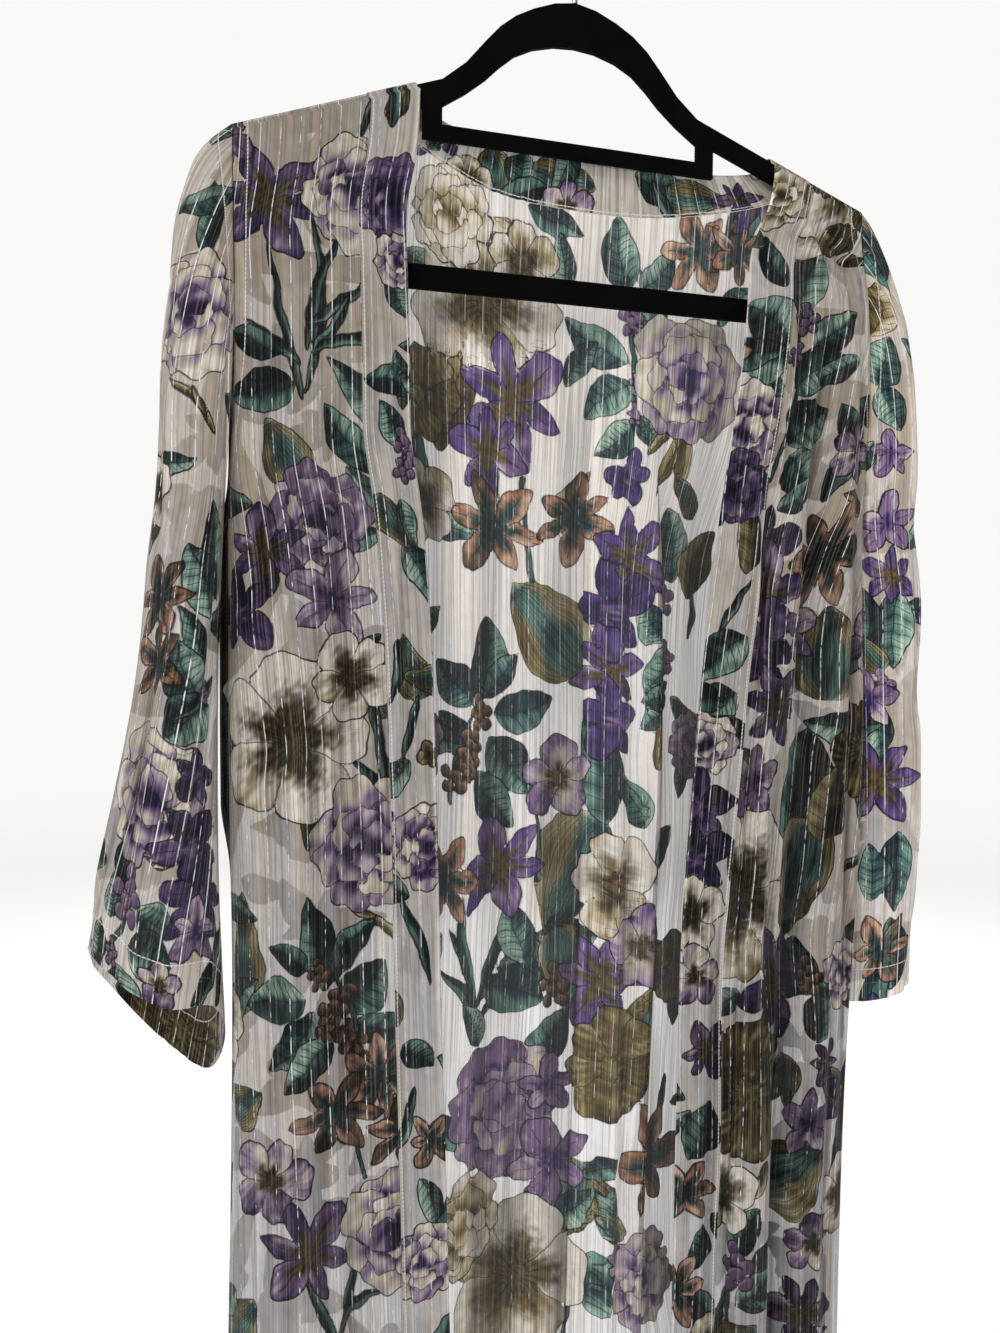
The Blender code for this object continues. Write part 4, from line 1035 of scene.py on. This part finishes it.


# a sheet from its grid: quads between neighbours, turned to face outwards, with the print's fields, the
# painted shade and the strength of the thread's painted glint
def makeSheet(name, grid, canvas, places, doubled, stitch, tones, outward, glintStrength):
    rowCount, columnCount = grid.shape[:2]
    index = np.arange(rowCount * columnCount).reshape(rowCount, columnCount)
    quads = np.stack([index[:-1, :-1], index[:-1, 1:], index[1:, 1:], index[1:, :-1]], axis=-1)
    quads = quads.reshape(-1, 4)
    if outward < 0:
        quads = quads[:, ::-1]
    mesh = bpy.data.meshes.new(name)
    mesh.vertices.add(index.size)
    mesh.vertices.foreach_set("co", grid.astype(np.float32).ravel())
    mesh.loops.add(quads.size)
    mesh.loops.foreach_set("vertex_index", quads.astype(np.int32).ravel())
    mesh.polygons.add(len(quads))
    mesh.polygons.foreach_set("loop_start", np.arange(0, quads.size, 4, dtype=np.int32))
    mesh.polygons.foreach_set("use_smooth", np.ones(len(quads), dtype=bool))
    mesh.update(calc_edges=True)
    for layer in ("under", "over"):
        values = np.concatenate([canvas[layer + "Colour"], canvas[layer][:, None]], axis=1)
        addField(mesh, layer + "Print", "FLOAT_COLOR", values)
    rims = (canvas["underRim"], canvas["overRim"], np.full(index.size, glintStrength))
    lines = (canvas["detail"], canvas["vein"], stitch)
    for field, values in (("printRims", rims), ("printLines", lines), ("clothPlace", (*places, doubled)),
                          ("clothShadeAndTone", tones)):
        addField(mesh, field, "FLOAT_VECTOR", np.stack([value.ravel() for value in values], axis=-1))
    margin = 0.004
    column, row = np.meshgrid(np.linspace(margin, 1.0 - margin, columnCount),
                              np.linspace(1.0 - margin, margin, rowCount))
    gridMap = np.stack([column.ravel(), row.ravel()], axis=-1)[quads.ravel()]
    mesh.uv_layers.new(name="OFBake").data.foreach_set("uv", gridMap.astype(np.float32).ravel())
    return addObject(name, mesh)


# sockets of a node given a link or a plain value
def setSockets(tree, node, sockets):
    for key, value in sockets.items():
        if isinstance(value, bpy.types.NodeSocket):
            tree.links.new(value, node.inputs[key])
        else:
            node.inputs[key].default_value = value


# one shader node: its settings by name, its sockets linked or set
def addNode(tree, kind, sockets, **settings):
    node = tree.nodes.new(kind)
    for key, value in settings.items():
        setattr(node, key, value)
    setSockets(tree, node, sockets)
    return node.outputs


# values joined one after another by a sum, product or other step; a single value goes through it alone
def calc(tree, operation, first, *others):
    for other in others or (0.0,):
        first = addNode(tree, "ShaderNodeMath", {0: first, 1: other}, operation=operation)[0]
    return first


# a value carried from one span to another, held at the ends
def span(tree, value, low, high, toLow, toHigh, smooth=True):
    sockets = {"Value": value, "From Min": low, "From Max": high, "To Min": toLow, "To Max": toHigh}
    kind = "SMOOTHSTEP" if smooth else "LINEAR"
    return addNode(tree, "ShaderNodeMapRange", sockets, interpolation_type=kind)[0]


# two colours mixed by a factor
def mixColour(tree, factor, first, second, blend="MIX"):
    sockets = {0: factor, 6: first, 7: second}
    return addNode(tree, "ShaderNodeMix", sockets, data_type="RGBA", blend_type=blend)[2]


# a stored field: colour, vector, mean and fourth value
def stored(tree, name):
    return addNode(tree, "ShaderNodeAttribute", {}, attribute_name=name)


# vector of a stored field and its three numbers
def threeOf(tree, name):
    vector = stored(tree, name)[1]
    return vector, *addNode(tree, "ShaderNodeSeparateXYZ", {0: vector})


# streaky noise over cloth millimetres: stretched by its two scales
def clothNoise(tree, place, scales, detail):
    moved = addNode(tree, "ShaderNodeMapping", {"Vector": place, "Scale": (*scales, 0.0)})[0]
    sockets = {"Vector": moved, "Scale": 1.0, "Detail": detail}
    return addNode(tree, "ShaderNodeTexNoise", sockets, noise_dimensions="2D")[0]


# even noise over the places of an object
def solidNoise(tree, scale, detail):
    place = addNode(tree, "ShaderNodeTexCoord", {})[3]
    return addNode(tree, "ShaderNodeTexNoise", {"Vector": place, "Scale": scale, "Detail": detail})[0]


# a bump from a height
def bumped(tree, height, strength, distance):
    sockets = {"Height": height, "Strength": strength, "Distance": distance}
    return addNode(tree, "ShaderNodeBump", sockets)[0]


# ink of a line: full where its field is near zero, none past the far distance
def lineInk(tree, field, near, far, full):
    return span(tree, calc(tree, "ABSOLUTE", field), near, far, full, 0.0)


# a new material with its tree and its shader
def newMaterial(name):
    material = bpy.data.materials.new(name)
    material.use_nodes = True
    return material, material.node_tree, material.node_tree.nodes["Principled BSDF"]


# printed crinkle chiffon: print fields cut at their outlines, streaked, darkened and lightened by painted
# crinkle shade and highlight and by the painted fold shade, striped at an even pitch with silver thread
# painted as broken white glints, sewn with small even stitches, partly clear
def chiffon(name, look):
    material, tree, shader = newMaterial(name)
    material.use_transparent_shadow = False
    place, across, drop, doubled = threeOf(tree, "clothPlace")
    _, detail, vein, stitch = threeOf(tree, "printLines")
    _, paintedShade, wash, mottle = threeOf(tree, "clothShadeAndTone")
    _, underRim, overRim, glintStrength = threeOf(tree, "printRims")
    under, over = stored(tree, "underPrint"), stored(tree, "overPrint")
    streak = clothNoise(tree, place, look["streakScales"], 1.0)
    # glints: noise that breaks the thread's painted glint into dashes
    glints = clothNoise(tree, place, look["glintScales"], 2.0)
    ink, soft, pitch = look["ink"], look["softEdge"], look["threadPitch"]
    underFill, overFill = (span(tree, layer[3], -soft, soft, 0.0, 1.0) for layer in (under, over))
    underLine, overLine = (lineInk(tree, rim, ink * 0.5, ink * 1.5, 1.0) for rim in (underRim, overRim))
    inner = lineInk(tree, detail, ink * 0.3, ink * 1.2, 0.85)
    thin = lineInk(tree, vein, ink * 0.2, ink * 1.0, 0.80)
    filled = calc(tree, "MAXIMUM", underFill, overFill)
    shown = calc(tree, "MULTIPLY", underLine, calc(tree, "SUBTRACT", 1.0, overFill))
    drawn = calc(tree, "MULTIPLY", calc(tree, "MAXIMUM", inner, thin), filled)
    drawn = calc(tree, "MAXIMUM", overLine, shown, drawn)
    colour = mixColour(tree, wash, look["ground"], look["groundCool"])
    colour = mixColour(tree, underFill, colour, under[0])
    colour = mixColour(tree, overFill, colour, over[0])
    faded = calc(tree, "MULTIPLY", span(tree, streak, 0.52, 0.72, 0.0, look["faded"]), filled)
    colour = mixColour(tree, faded, colour, look["ground"])
    colour = mixColour(tree, calc(tree, "MULTIPLY", drawn, look["inkShare"]), colour, look["inkColour"])
    # painted crinkle shade and highlight: the streaks darken and lighten the colour
    crinkleShadeAndHighlight = span(tree, streak, 0.30, 0.66, look["paintedCrinkleShade"], look["paintedCrinkleHighlight"])
    # the painted fold shade and the painted crinkle shade and highlight multiply the colour, together with
    # the random mottle
    shadeAndMottle = calc(tree, "MULTIPLY", paintedShade, mottle, crinkleShadeAndHighlight)
    shadeAndMottleColour = addNode(tree, "ShaderNodeCombineXYZ", {0: shadeAndMottle, 1: shadeAndMottle, 2: shadeAndMottle})[0]
    colour = mixColour(tree, 1.0, colour, shadeAndMottleColour, "MULTIPLY")
    along = calc(tree, "FRACT", calc(tree, "DIVIDE", across, pitch))
    offLine = calc(tree, "MULTIPLY", calc(tree, "SUBTRACT", along, 0.5), pitch)
    broken = calc(tree, "ADD", glints, calc(tree, "MULTIPLY", wash, look["washBreaks"]))
    dash = span(tree, broken, 0.28, 0.50, 0.04, 1.0)
    # painted glint: the silver thread painted white in broken dashes, dimmed by the painted fold shade, its
    # strength set for each piece
    threadGlint = calc(tree, "MULTIPLY", lineInk(tree, offLine, *look["threadEdge"], 1.0), dash, paintedShade, glintStrength)
    colour = mixColour(tree, threadGlint, colour, look["threadColour"])
    dashes = calc(tree, "FRACT", calc(tree, "DIVIDE", calc(tree, "ADD", across, drop), look["stitchPitch"]))
    sewn = lineInk(tree, stitch, *look["stitchEdge"], 1.0)
    sewn = calc(tree, "MULTIPLY", sewn, span(tree, dashes, 0.70, 0.80, 0.9, 0.2))
    colour = mixColour(tree, sewn, colour, look["stitchColour"])
    thinned = span(tree, streak, 0.3, 0.7, look["thinned"], -look["thinned"])
    thinned = calc(tree, "MULTIPLY", thinned, calc(tree, "SUBTRACT", 1.0, filled))
    printed = calc(tree, "MULTIPLY", filled, look["printOpacity"])
    layered = calc(tree, "MULTIPLY", doubled, look["doubledOpacity"])
    opaque = calc(tree, "ADD", thinned, look["opacity"], printed, layered)
    opaque = calc(tree, "MAXIMUM", opaque, threadGlint, sewn)
    setSockets(tree, shader, {
        "Base Color": colour, "Roughness": span(tree, threadGlint, 0.0, 1.0, 0.65, 0.25),
        "Alpha": calc(tree, "MINIMUM", opaque, 1.0), "Normal": bumped(tree, streak, 0.45, 0.0008),
        "Specular IOR Level": 0.12, "Sheen Weight": 0.05, "Sheen Roughness": 0.45,
    })
    return material


# black flock: near-black fibre with a soft sheen and a fine mottled nap
def velvet(name):
    material, tree, shader = newMaterial(name)
    nap, rub = solidNoise(tree, 1400.0, 2.0), solidNoise(tree, 38.0, 3.0)
    tone = calc(tree, "MULTIPLY", span(tree, nap, 0.3, 0.7, 0.5, 1.3), span(tree, rub, 0.35, 0.7, 0.8, 1.5))
    setSockets(tree, shader, {
        "Base Color": mixColour(tree, tone, (0.0005, 0.0005, 0.0006, 1.0), (0.0028, 0.0028, 0.0032, 1.0)),
        "Normal": bumped(tree, nap, 0.5, 0.0004), "Roughness": 0.95, "Specular IOR Level": 0.06,
        "Sheen Weight": 0.02, "Sheen Roughness": 0.4,
    })
    return material


# plated wire: bright metal, faint drawn lines and small dull spots
def platedWire(name):
    material, tree, shader = newMaterial(name)
    spots, drawn = solidNoise(tree, 260.0, 4.0), solidNoise(tree, 1900.0, 1.0)
    dull = span(tree, spots, 0.4, 0.7, 0.0, 0.5)
    setSockets(tree, shader, {
        "Base Color": mixColour(tree, dull, (0.70, 0.70, 0.71, 1.0), (0.50, 0.50, 0.52, 1.0)),
        "Roughness": span(tree, spots, 0.35, 0.7, 0.14, 0.34), "Normal": bumped(tree, drawn, 0.08, 0.0002),
        "Metallic": 1.0,
    })
    return material


# finishes: thread and stitch pitch, near and far edges and half ink width in mm, scales of the noise,
# colours (the thread's white a painted glint), how much each layer hides, how far streaks fade the print,
# darken and lighten it as painted crinkle shade and highlight, and thin the cloth
clothLook = {
    "threadPitch": 12.5, "threadEdge": (0.14, 0.40), "stitchPitch": 2.6, "stitchEdge": (0.20, 0.45),
    "ink": 0.50, "softEdge": 0.25, "inkShare": 0.94,
    "streakScales": (0.80, 0.008), "glintScales": (0.31, 0.16),
    "inkColour": (0.010, 0.010, 0.012, 1.0), "threadColour": (1.0, 1.0, 1.0, 1.0),
    "stitchColour": (0.92, 0.89, 0.84, 1.0), "washBreaks": -0.28, "paintedCrinkleHighlight": 1.16, "faded": 0.10,
    "doubledOpacity": 0.20, "thinned": 0.10,
}
panelLook = {**clothLook, "ground": (0.66, 0.55, 0.43, 1.0), "groundCool": (0.66, 0.65, 0.68, 1.0),
             "opacity": 0.62, "printOpacity": 0.36, "paintedCrinkleShade": 0.62}
bandLook = {**clothLook, "ground": (0.66, 0.59, 0.51, 1.0), "groundCool": (0.68, 0.67, 0.70, 1.0),
            "opacity": 0.74, "printOpacity": 0.25, "paintedCrinkleShade": 0.66}
panelCloth = chiffon("printed_chiffon", panelLook)
bandCloth = chiffon("printed_chiffon_doubled", bandLook)
print("finishes made")


# depths of the sewn edges in mm
sewing = {"side": 9.0, "underarm": 8.0, "hem": 24.0, "cuff": 22.0, "bandEdge": 1.6, "halfSoft": 0.6}


# seam and hem zones: how doubled the cloth is near given edges, and the nearest stitch line, from distances
# in mm
def sewnEdges(*distances):
    soft, blank = sewing["halfSoft"], fields["blank"]
    doubled, stitch = np.zeros_like(distances[0][0]), noLine(distances[0][0])
    for away, depth in distances:
        doubled = np.maximum(doubled, np.clip((depth + soft - away) / (2.0 * soft), 0.0, 1.0))
        line = away - depth
        stitch = np.where(np.abs(line) < np.abs(stitch), line, stitch)
    return doubled, np.clip(stitch, -blank, blank)


# distance of each place from the end of its row where the run across is longest
def fromFarEnd(across):
    return np.abs(across).max(axis=1, keepdims=True) - np.abs(across)


# a front: sewn along its side seam and its hem
def frontSeams(across, drop):
    return sewnEdges((fromFarEnd(across), sewing["side"]), (drops["hem"] - drop, sewing["hem"]))


# a front band: sewn along both its long edges and at the hem
def bandSeams(across, drop):
    away = np.minimum(np.abs(across), fromFarEnd(across))
    return sewnEdges((away, sewing["bandEdge"]), (drops["hem"] - drop, sewing["hem"]))


# the back: sewn along both side seams and the hem
def backSeams(across, drop):
    right = across - across.min(axis=1, keepdims=True)
    left = across.max(axis=1, keepdims=True) - across
    return sewnEdges((right, sewing["side"]), (left, sewing["side"]), (drops["hem"] - drop, sewing["hem"]))


# the neck band: sewn along both its long edges, one band width to each side of the neck edge
def neckSeams(across, drop):
    away = millis * jacket["bandWidth"] - np.abs(drop - drops["neckEdge"])
    return sewnEdges((away, sewing["bandEdge"]))


# a sleeve: sewn along the underarm, the cuff and the armhole
def sleeveSeams(across, drop):
    return sewnEdges((fromFarEnd(across), sewing["underarm"]), (drop.max() - drop, sewing["cuff"]),
                     (drop - drops["sleeveTop"], sewing["underarm"]))


# painted shade: share of a row's columns that the mean runs over, relief in metres, its darkest painted
# shade and lightest painted highlight, drops in mm at which a piece's painted shade levels are given,
# painted highlight along a band's fold and painted shadow along its seam in mm, painted shade of the back
# behind the fronts, reach of that past their edges in metres
paintedShadeLook = {
    "meanShare": 14, "relief": 0.0045, "trough": -0.55, "ridge": 0.20, "levelDrops": (250.0, 600.0, 1050.0),
    "paintedFoldHighlight": 0.45, "foldReach": 1.6, "paintedSeamShadow": 0.18, "seamPlace": 29.0, "seamSpread": 6.0,
    "behind": 0.12, "behindRight": 0.014, "behindLeft": 0.004, "behindFade": 0.030,
}


# painted shade and tones of the cloth: troughs darker and ridges lighter than the mean of the cloth about
# them as painted shade and highlight, each piece's painted shade levels, a painted highlight along a band's
# fold and painted shadow by its seam, painted shade on the back behind the fronts; then a slow change of
# ground that grows with the drop, fine mottle drawn out down the cloth
def paintedShadeAndTones(node, grid, across, drop):
    look, shift = pieces[node], pieces[node]["shift"]
    reach = max(3, grid.shape[1] // paintedShadeLook["meanShare"])
    padded = np.pad(grid, ((0, 0), (reach, reach), (0, 0)), mode="edge")
    total = np.cumsum(np.pad(padded, ((0, 0), (1, 0), (0, 0))), axis=1)
    mean = (total[:, 2 * reach + 1:] - total[:, :-2 * reach - 1]) / (2 * reach + 1)
    rise = look["seen"] * np.sum((grid - mean) * gridNormals(grid), axis=-1)
    # painted shade in the troughs and painted highlight on the ridges of the cloth's relief
    paintedShade = 1.0 + np.clip(rise / paintedShadeLook["relief"], paintedShadeLook["trough"], paintedShadeLook["ridge"])
    # painted shade levels: each piece darker or lighter from top to hem, for the light falling on it
    paintedShade = paintedShade * np.interp(drop, paintedShadeLook["levelDrops"], look["levels"])
    # painted highlight along the band's fold edge and painted shadow beside its seam
    if node in ("band_right", "band_left"):
        fromFold = np.abs(np.abs(across) - 0.5 * np.abs(across).max(axis=1, keepdims=True))
        light = paintedShadeLook["paintedFoldHighlight"] * np.exp(-(fromFold / paintedShadeLook["foldReach"]) ** 2)
        fromSeam = fromFold - paintedShadeLook["seamPlace"]
        dark = paintedShadeLook["paintedSeamShadow"] * np.exp(-fromSeam ** 2 / paintedShadeLook["seamSpread"])
        paintedShade = paintedShade * (1.0 + light - dark)
    # painted shade on the back where the fronts cover it and just past their edges
    if node == "back":
        x, z = grid[..., 0], grid[..., 2]
        right = ease((bodyAt("rightEdge", z) + paintedShadeLook["behindRight"] - x) / paintedShadeLook["behindFade"])
        left = ease((x - bodyAt("leftEdge", z) + paintedShadeLook["behindLeft"]) / paintedShadeLook["behindFade"])
        paintedShade = paintedShade * (1.0 - paintedShadeLook["behind"] * np.maximum(right, left))
    wash = 0.38 + 0.30 * softNoise(across, drop, 150.0, shift) + (drop - 560.0) / 900.0
    wash = wash + 0.40 * softNoise(across, 0.05 * drop, 17.0, shift + 6.0)
    mottle = 1.0 + 0.08 * softNoise(across, drop, 13.0, shift + 4.0)
    mottle = mottle + 0.12 * softNoise(across, 0.06 * drop, 9.0, shift + 5.0)
    return paintedShade, np.clip(wash, 0.0, 1.0), mottle


# pieces: seed of their print, side that faces out, side the painted fold shade is seen from, painted shade
# levels from top to hem for the light falling on each piece, power that deepens the darker dyes, strength of
# the thread's painted glint, size in metres that the cloth is cut to, and its area where that is no
# rectangle
pieces = {
    "back": {"shift": 11.0, "outward": 1.0, "seen": -1.0, "levels": (1.18, 1.07, 0.96), "depth": 0.92,
             "threadGlint": 0.55, "flat": (0.47, 0.90), "area": None},
    "front_right": {"shift": 3.0, "outward": -1.0, "seen": -1.0, "levels": (0.88, 0.89, 0.88), "depth": 1.22,
                    "threadGlint": 1.0, "flat": (0.13, 0.92), "area": None},
    "front_left": {"shift": 5.0, "outward": 1.0, "seen": 1.0, "levels": (1.02, 0.88, 0.74), "depth": 1.40,
                   "threadGlint": 0.85, "flat": (0.13, 0.92), "area": None},
    "band_right": {"shift": 7.0, "outward": -1.0, "seen": -1.0, "levels": (0.98, 0.98, 0.96), "depth": 1.2,
                   "threadGlint": 0.8, "flat": (0.062, 0.925), "area": None},
    "band_left": {"shift": 2.0, "outward": 1.0, "seen": 1.0, "levels": (1.04, 0.94, 0.86), "depth": 1.34,
                  "threadGlint": 0.8, "flat": (0.062, 0.925), "area": None},
    "band_neck": {"shift": 4.0, "outward": 1.0, "seen": 1.0, "levels": (1.0, 1.0, 1.0), "depth": 1.05,
                  "threadGlint": 0.6, "flat": (0.27, 0.062), "area": None},
    "sleeve_right": {"shift": 6.0, "outward": 1.0, "seen": 1.0, "levels": (0.98, 0.98, 0.98), "depth": 1.2,
                     "threadGlint": 1.0, "flat": (0.29, 0.56), "area": 0.105},
    "sleeve_left": {"shift": 8.0, "outward": -1.0, "seen": -1.0, "levels": (1.40, 1.34, 1.24), "depth": 0.96,
                    "threadGlint": 0.85, "flat": (0.29, 0.56), "area": 0.105},
}


# every sewn piece: its print, seams, painted shade and tones on its grid, then its place in the frame and
# its cut
def hang(node, built, cloth, seams):
    look, (grid, across, drop) = pieces[node], built
    placed = [(kind, *place) for kind, *places in printRuns[node] for place in places]
    canvas = printFields(across, drop, placed, look["shift"], look["depth"])
    shadedAndToned = paintedShadeAndTones(node, grid, across, drop)
    piece = makeSheet(node + "_cloth", grid, canvas, (across, drop), *seams(across, drop), shadedAndToned,
                      look["outward"], look["threadGlint"])
    piece.data.materials.append(cloth)
    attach(piece, "root")
    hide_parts(node)
    print(node, "hung:", len(piece.data.polygons) * 2, "triangles")


hang("back", buildBack(), panelCloth, backSeams)
hang("front_right", buildFront(-1.0, "front_right", False), panelCloth, frontSeams)
hang("front_left", buildFront(1.0, "front_left", False), panelCloth, frontSeams)
hang("band_right", buildFront(-1.0, "front_right", True), bandCloth, bandSeams)
hang("band_left", buildFront(1.0, "front_left", True), bandCloth, bandSeams)
hang("band_neck", buildNeck(), bandCloth, neckSeams)
hang("sleeve_right", buildSleeve(-1.0, "sleeve_right"), panelCloth, sleeveSeams)
hang("sleeve_left", buildSleeve(1.0, "sleeve_left"), panelCloth, sleeveSeams)

flock, wire = velvet("black_flock"), platedWire("plated_wire")
for node, finish in (("hanger_frame", flock), ("hanger_hook", wire)):
    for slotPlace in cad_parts[node].material_slots:
        slotPlace.material = finish
print("hanger finished")

# studio: pale floor that fades out between two distances, even pale surround and its brightness as seen;
# lights by power, size, place and aim
studio = {
    "floorZ": -1.32, "floorSize": 14.0, "fadeFrom": 2.0, "fadeTo": 6.0, "surround": 0.27, "seen": 0.95,
    "pale": (1.0, 0.995, 0.985, 1.0),
    "lights": {
        "key": (15.0, 0.7, (-1.0, -1.3, 0.75), (0.0, 0.0, -0.5)),
        "fill": (3.0, 2.0, (1.9, -1.8, 0.2), (0.0, 0.0, -0.6)),
        "back_glow": (24.0, 2.0, (0.8, 2.4, 0.5), (0.0, 0.0, -0.5)),
    },
}
corners = np.array(((-1, -1), (1, -1), (1, 1), (-1, 1))) * studio["floorSize"]
floorMesh = bpy.data.meshes.new("floor")
floorMesh.from_pydata([(x, y, studio["floorZ"]) for x, y in corners.tolist()], [], [(0, 1, 2, 3)])
floor = addObject("floor", floorMesh)
floorMaterial, floorTree, floorShader = newMaterial("pale_floor")
floorPlace = addNode(floorTree, "ShaderNodeTexCoord", {})[3]
distance = addNode(floorTree, "ShaderNodeVectorMath", {0: floorPlace}, operation="LENGTH")[1]
setSockets(floorTree, floorShader, {
    "Base Color": (0.86, 0.86, 0.85, 1.0), "Roughness": 0.8,
    "Emission Color": studio["pale"], "Emission Strength": 0.60,
    "Alpha": span(floorTree, distance, studio["fadeFrom"], studio["fadeTo"], 1.0, 0.0),
})
floorMesh.materials.append(floorMaterial)


# placing matrix: its columns are the directions right, up and back, then the place
def placing(right, up, back, place):
    return Matrix([[right[k], up[k], back[k], place[k]] for k in range(3)] + [[0.0, 0.0, 0.0, 1.0]])


# a soft square light aimed at a point
def softLight(name, power, size, place, aim):
    light = bpy.data.lights.new(name, "AREA")
    light.energy, light.size = power, size
    away = np.array(place) - np.array(aim)
    away = away / np.linalg.norm(away)
    side = np.cross((0.0, 0.0, 1.0), away)
    side = side / np.linalg.norm(side)
    addObject(name, light).matrix_world = placing(side, np.cross(away, side), away, place)


for lightName, lightRow in studio["lights"].items():
    softLight(lightName, *lightRow)
world = bpy.data.worlds.new("surround")
world.use_nodes = True
worldTree = world.node_tree
seen = addNode(worldTree, "ShaderNodeLightPath", {})[0]
strength = span(worldTree, seen, 0.0, 1.0, studio["surround"], studio["seen"], False)
setSockets(worldTree, worldTree.nodes["Background"], {"Color": studio["pale"], "Strength": strength})
bpy.context.scene.world = world
bpy.context.scene.view_settings.view_transform = "Standard"
bpy.context.scene.cycles.transparent_max_bounces = 24
print("studio lit")

# camera: turned 17.9 degrees to the left of the front, tipped 2.1 down, rolled a little
view = {"place": (-0.2708, -0.6975, -0.461), "turn": 17.9, "tip": -2.08, "roll": 0.59, "lens": 31.06,
        "sensor": 36.0, "clip": (0.01, 100.0)}
turnAngle, tipAngle, rollAngle = (math.radians(view[key]) for key in ("turn", "tip", "roll"))
flatRight = np.array((math.cos(turnAngle), -math.sin(turnAngle), 0.0))
flatAhead = np.array((math.sin(turnAngle), math.cos(turnAngle), 0.0))
ahead = flatAhead * math.cos(tipAngle) + np.array((0.0, 0.0, math.sin(tipAngle)))
flatUp = np.cross(flatRight, ahead)
cameraRight = flatRight * math.cos(rollAngle) + flatUp * math.sin(rollAngle)
cameraUp = flatUp * math.cos(rollAngle) - flatRight * math.sin(rollAngle)
cameraData = bpy.data.cameras.new("camera")
cameraData.lens, cameraData.sensor_width = view["lens"], view["sensor"]
cameraData.clip_start, cameraData.clip_end = view["clip"]
camera = addObject("camera", cameraData)
camera.matrix_world = placing(cameraRight, cameraUp, -ahead, view["place"])
bpy.context.scene.camera = camera
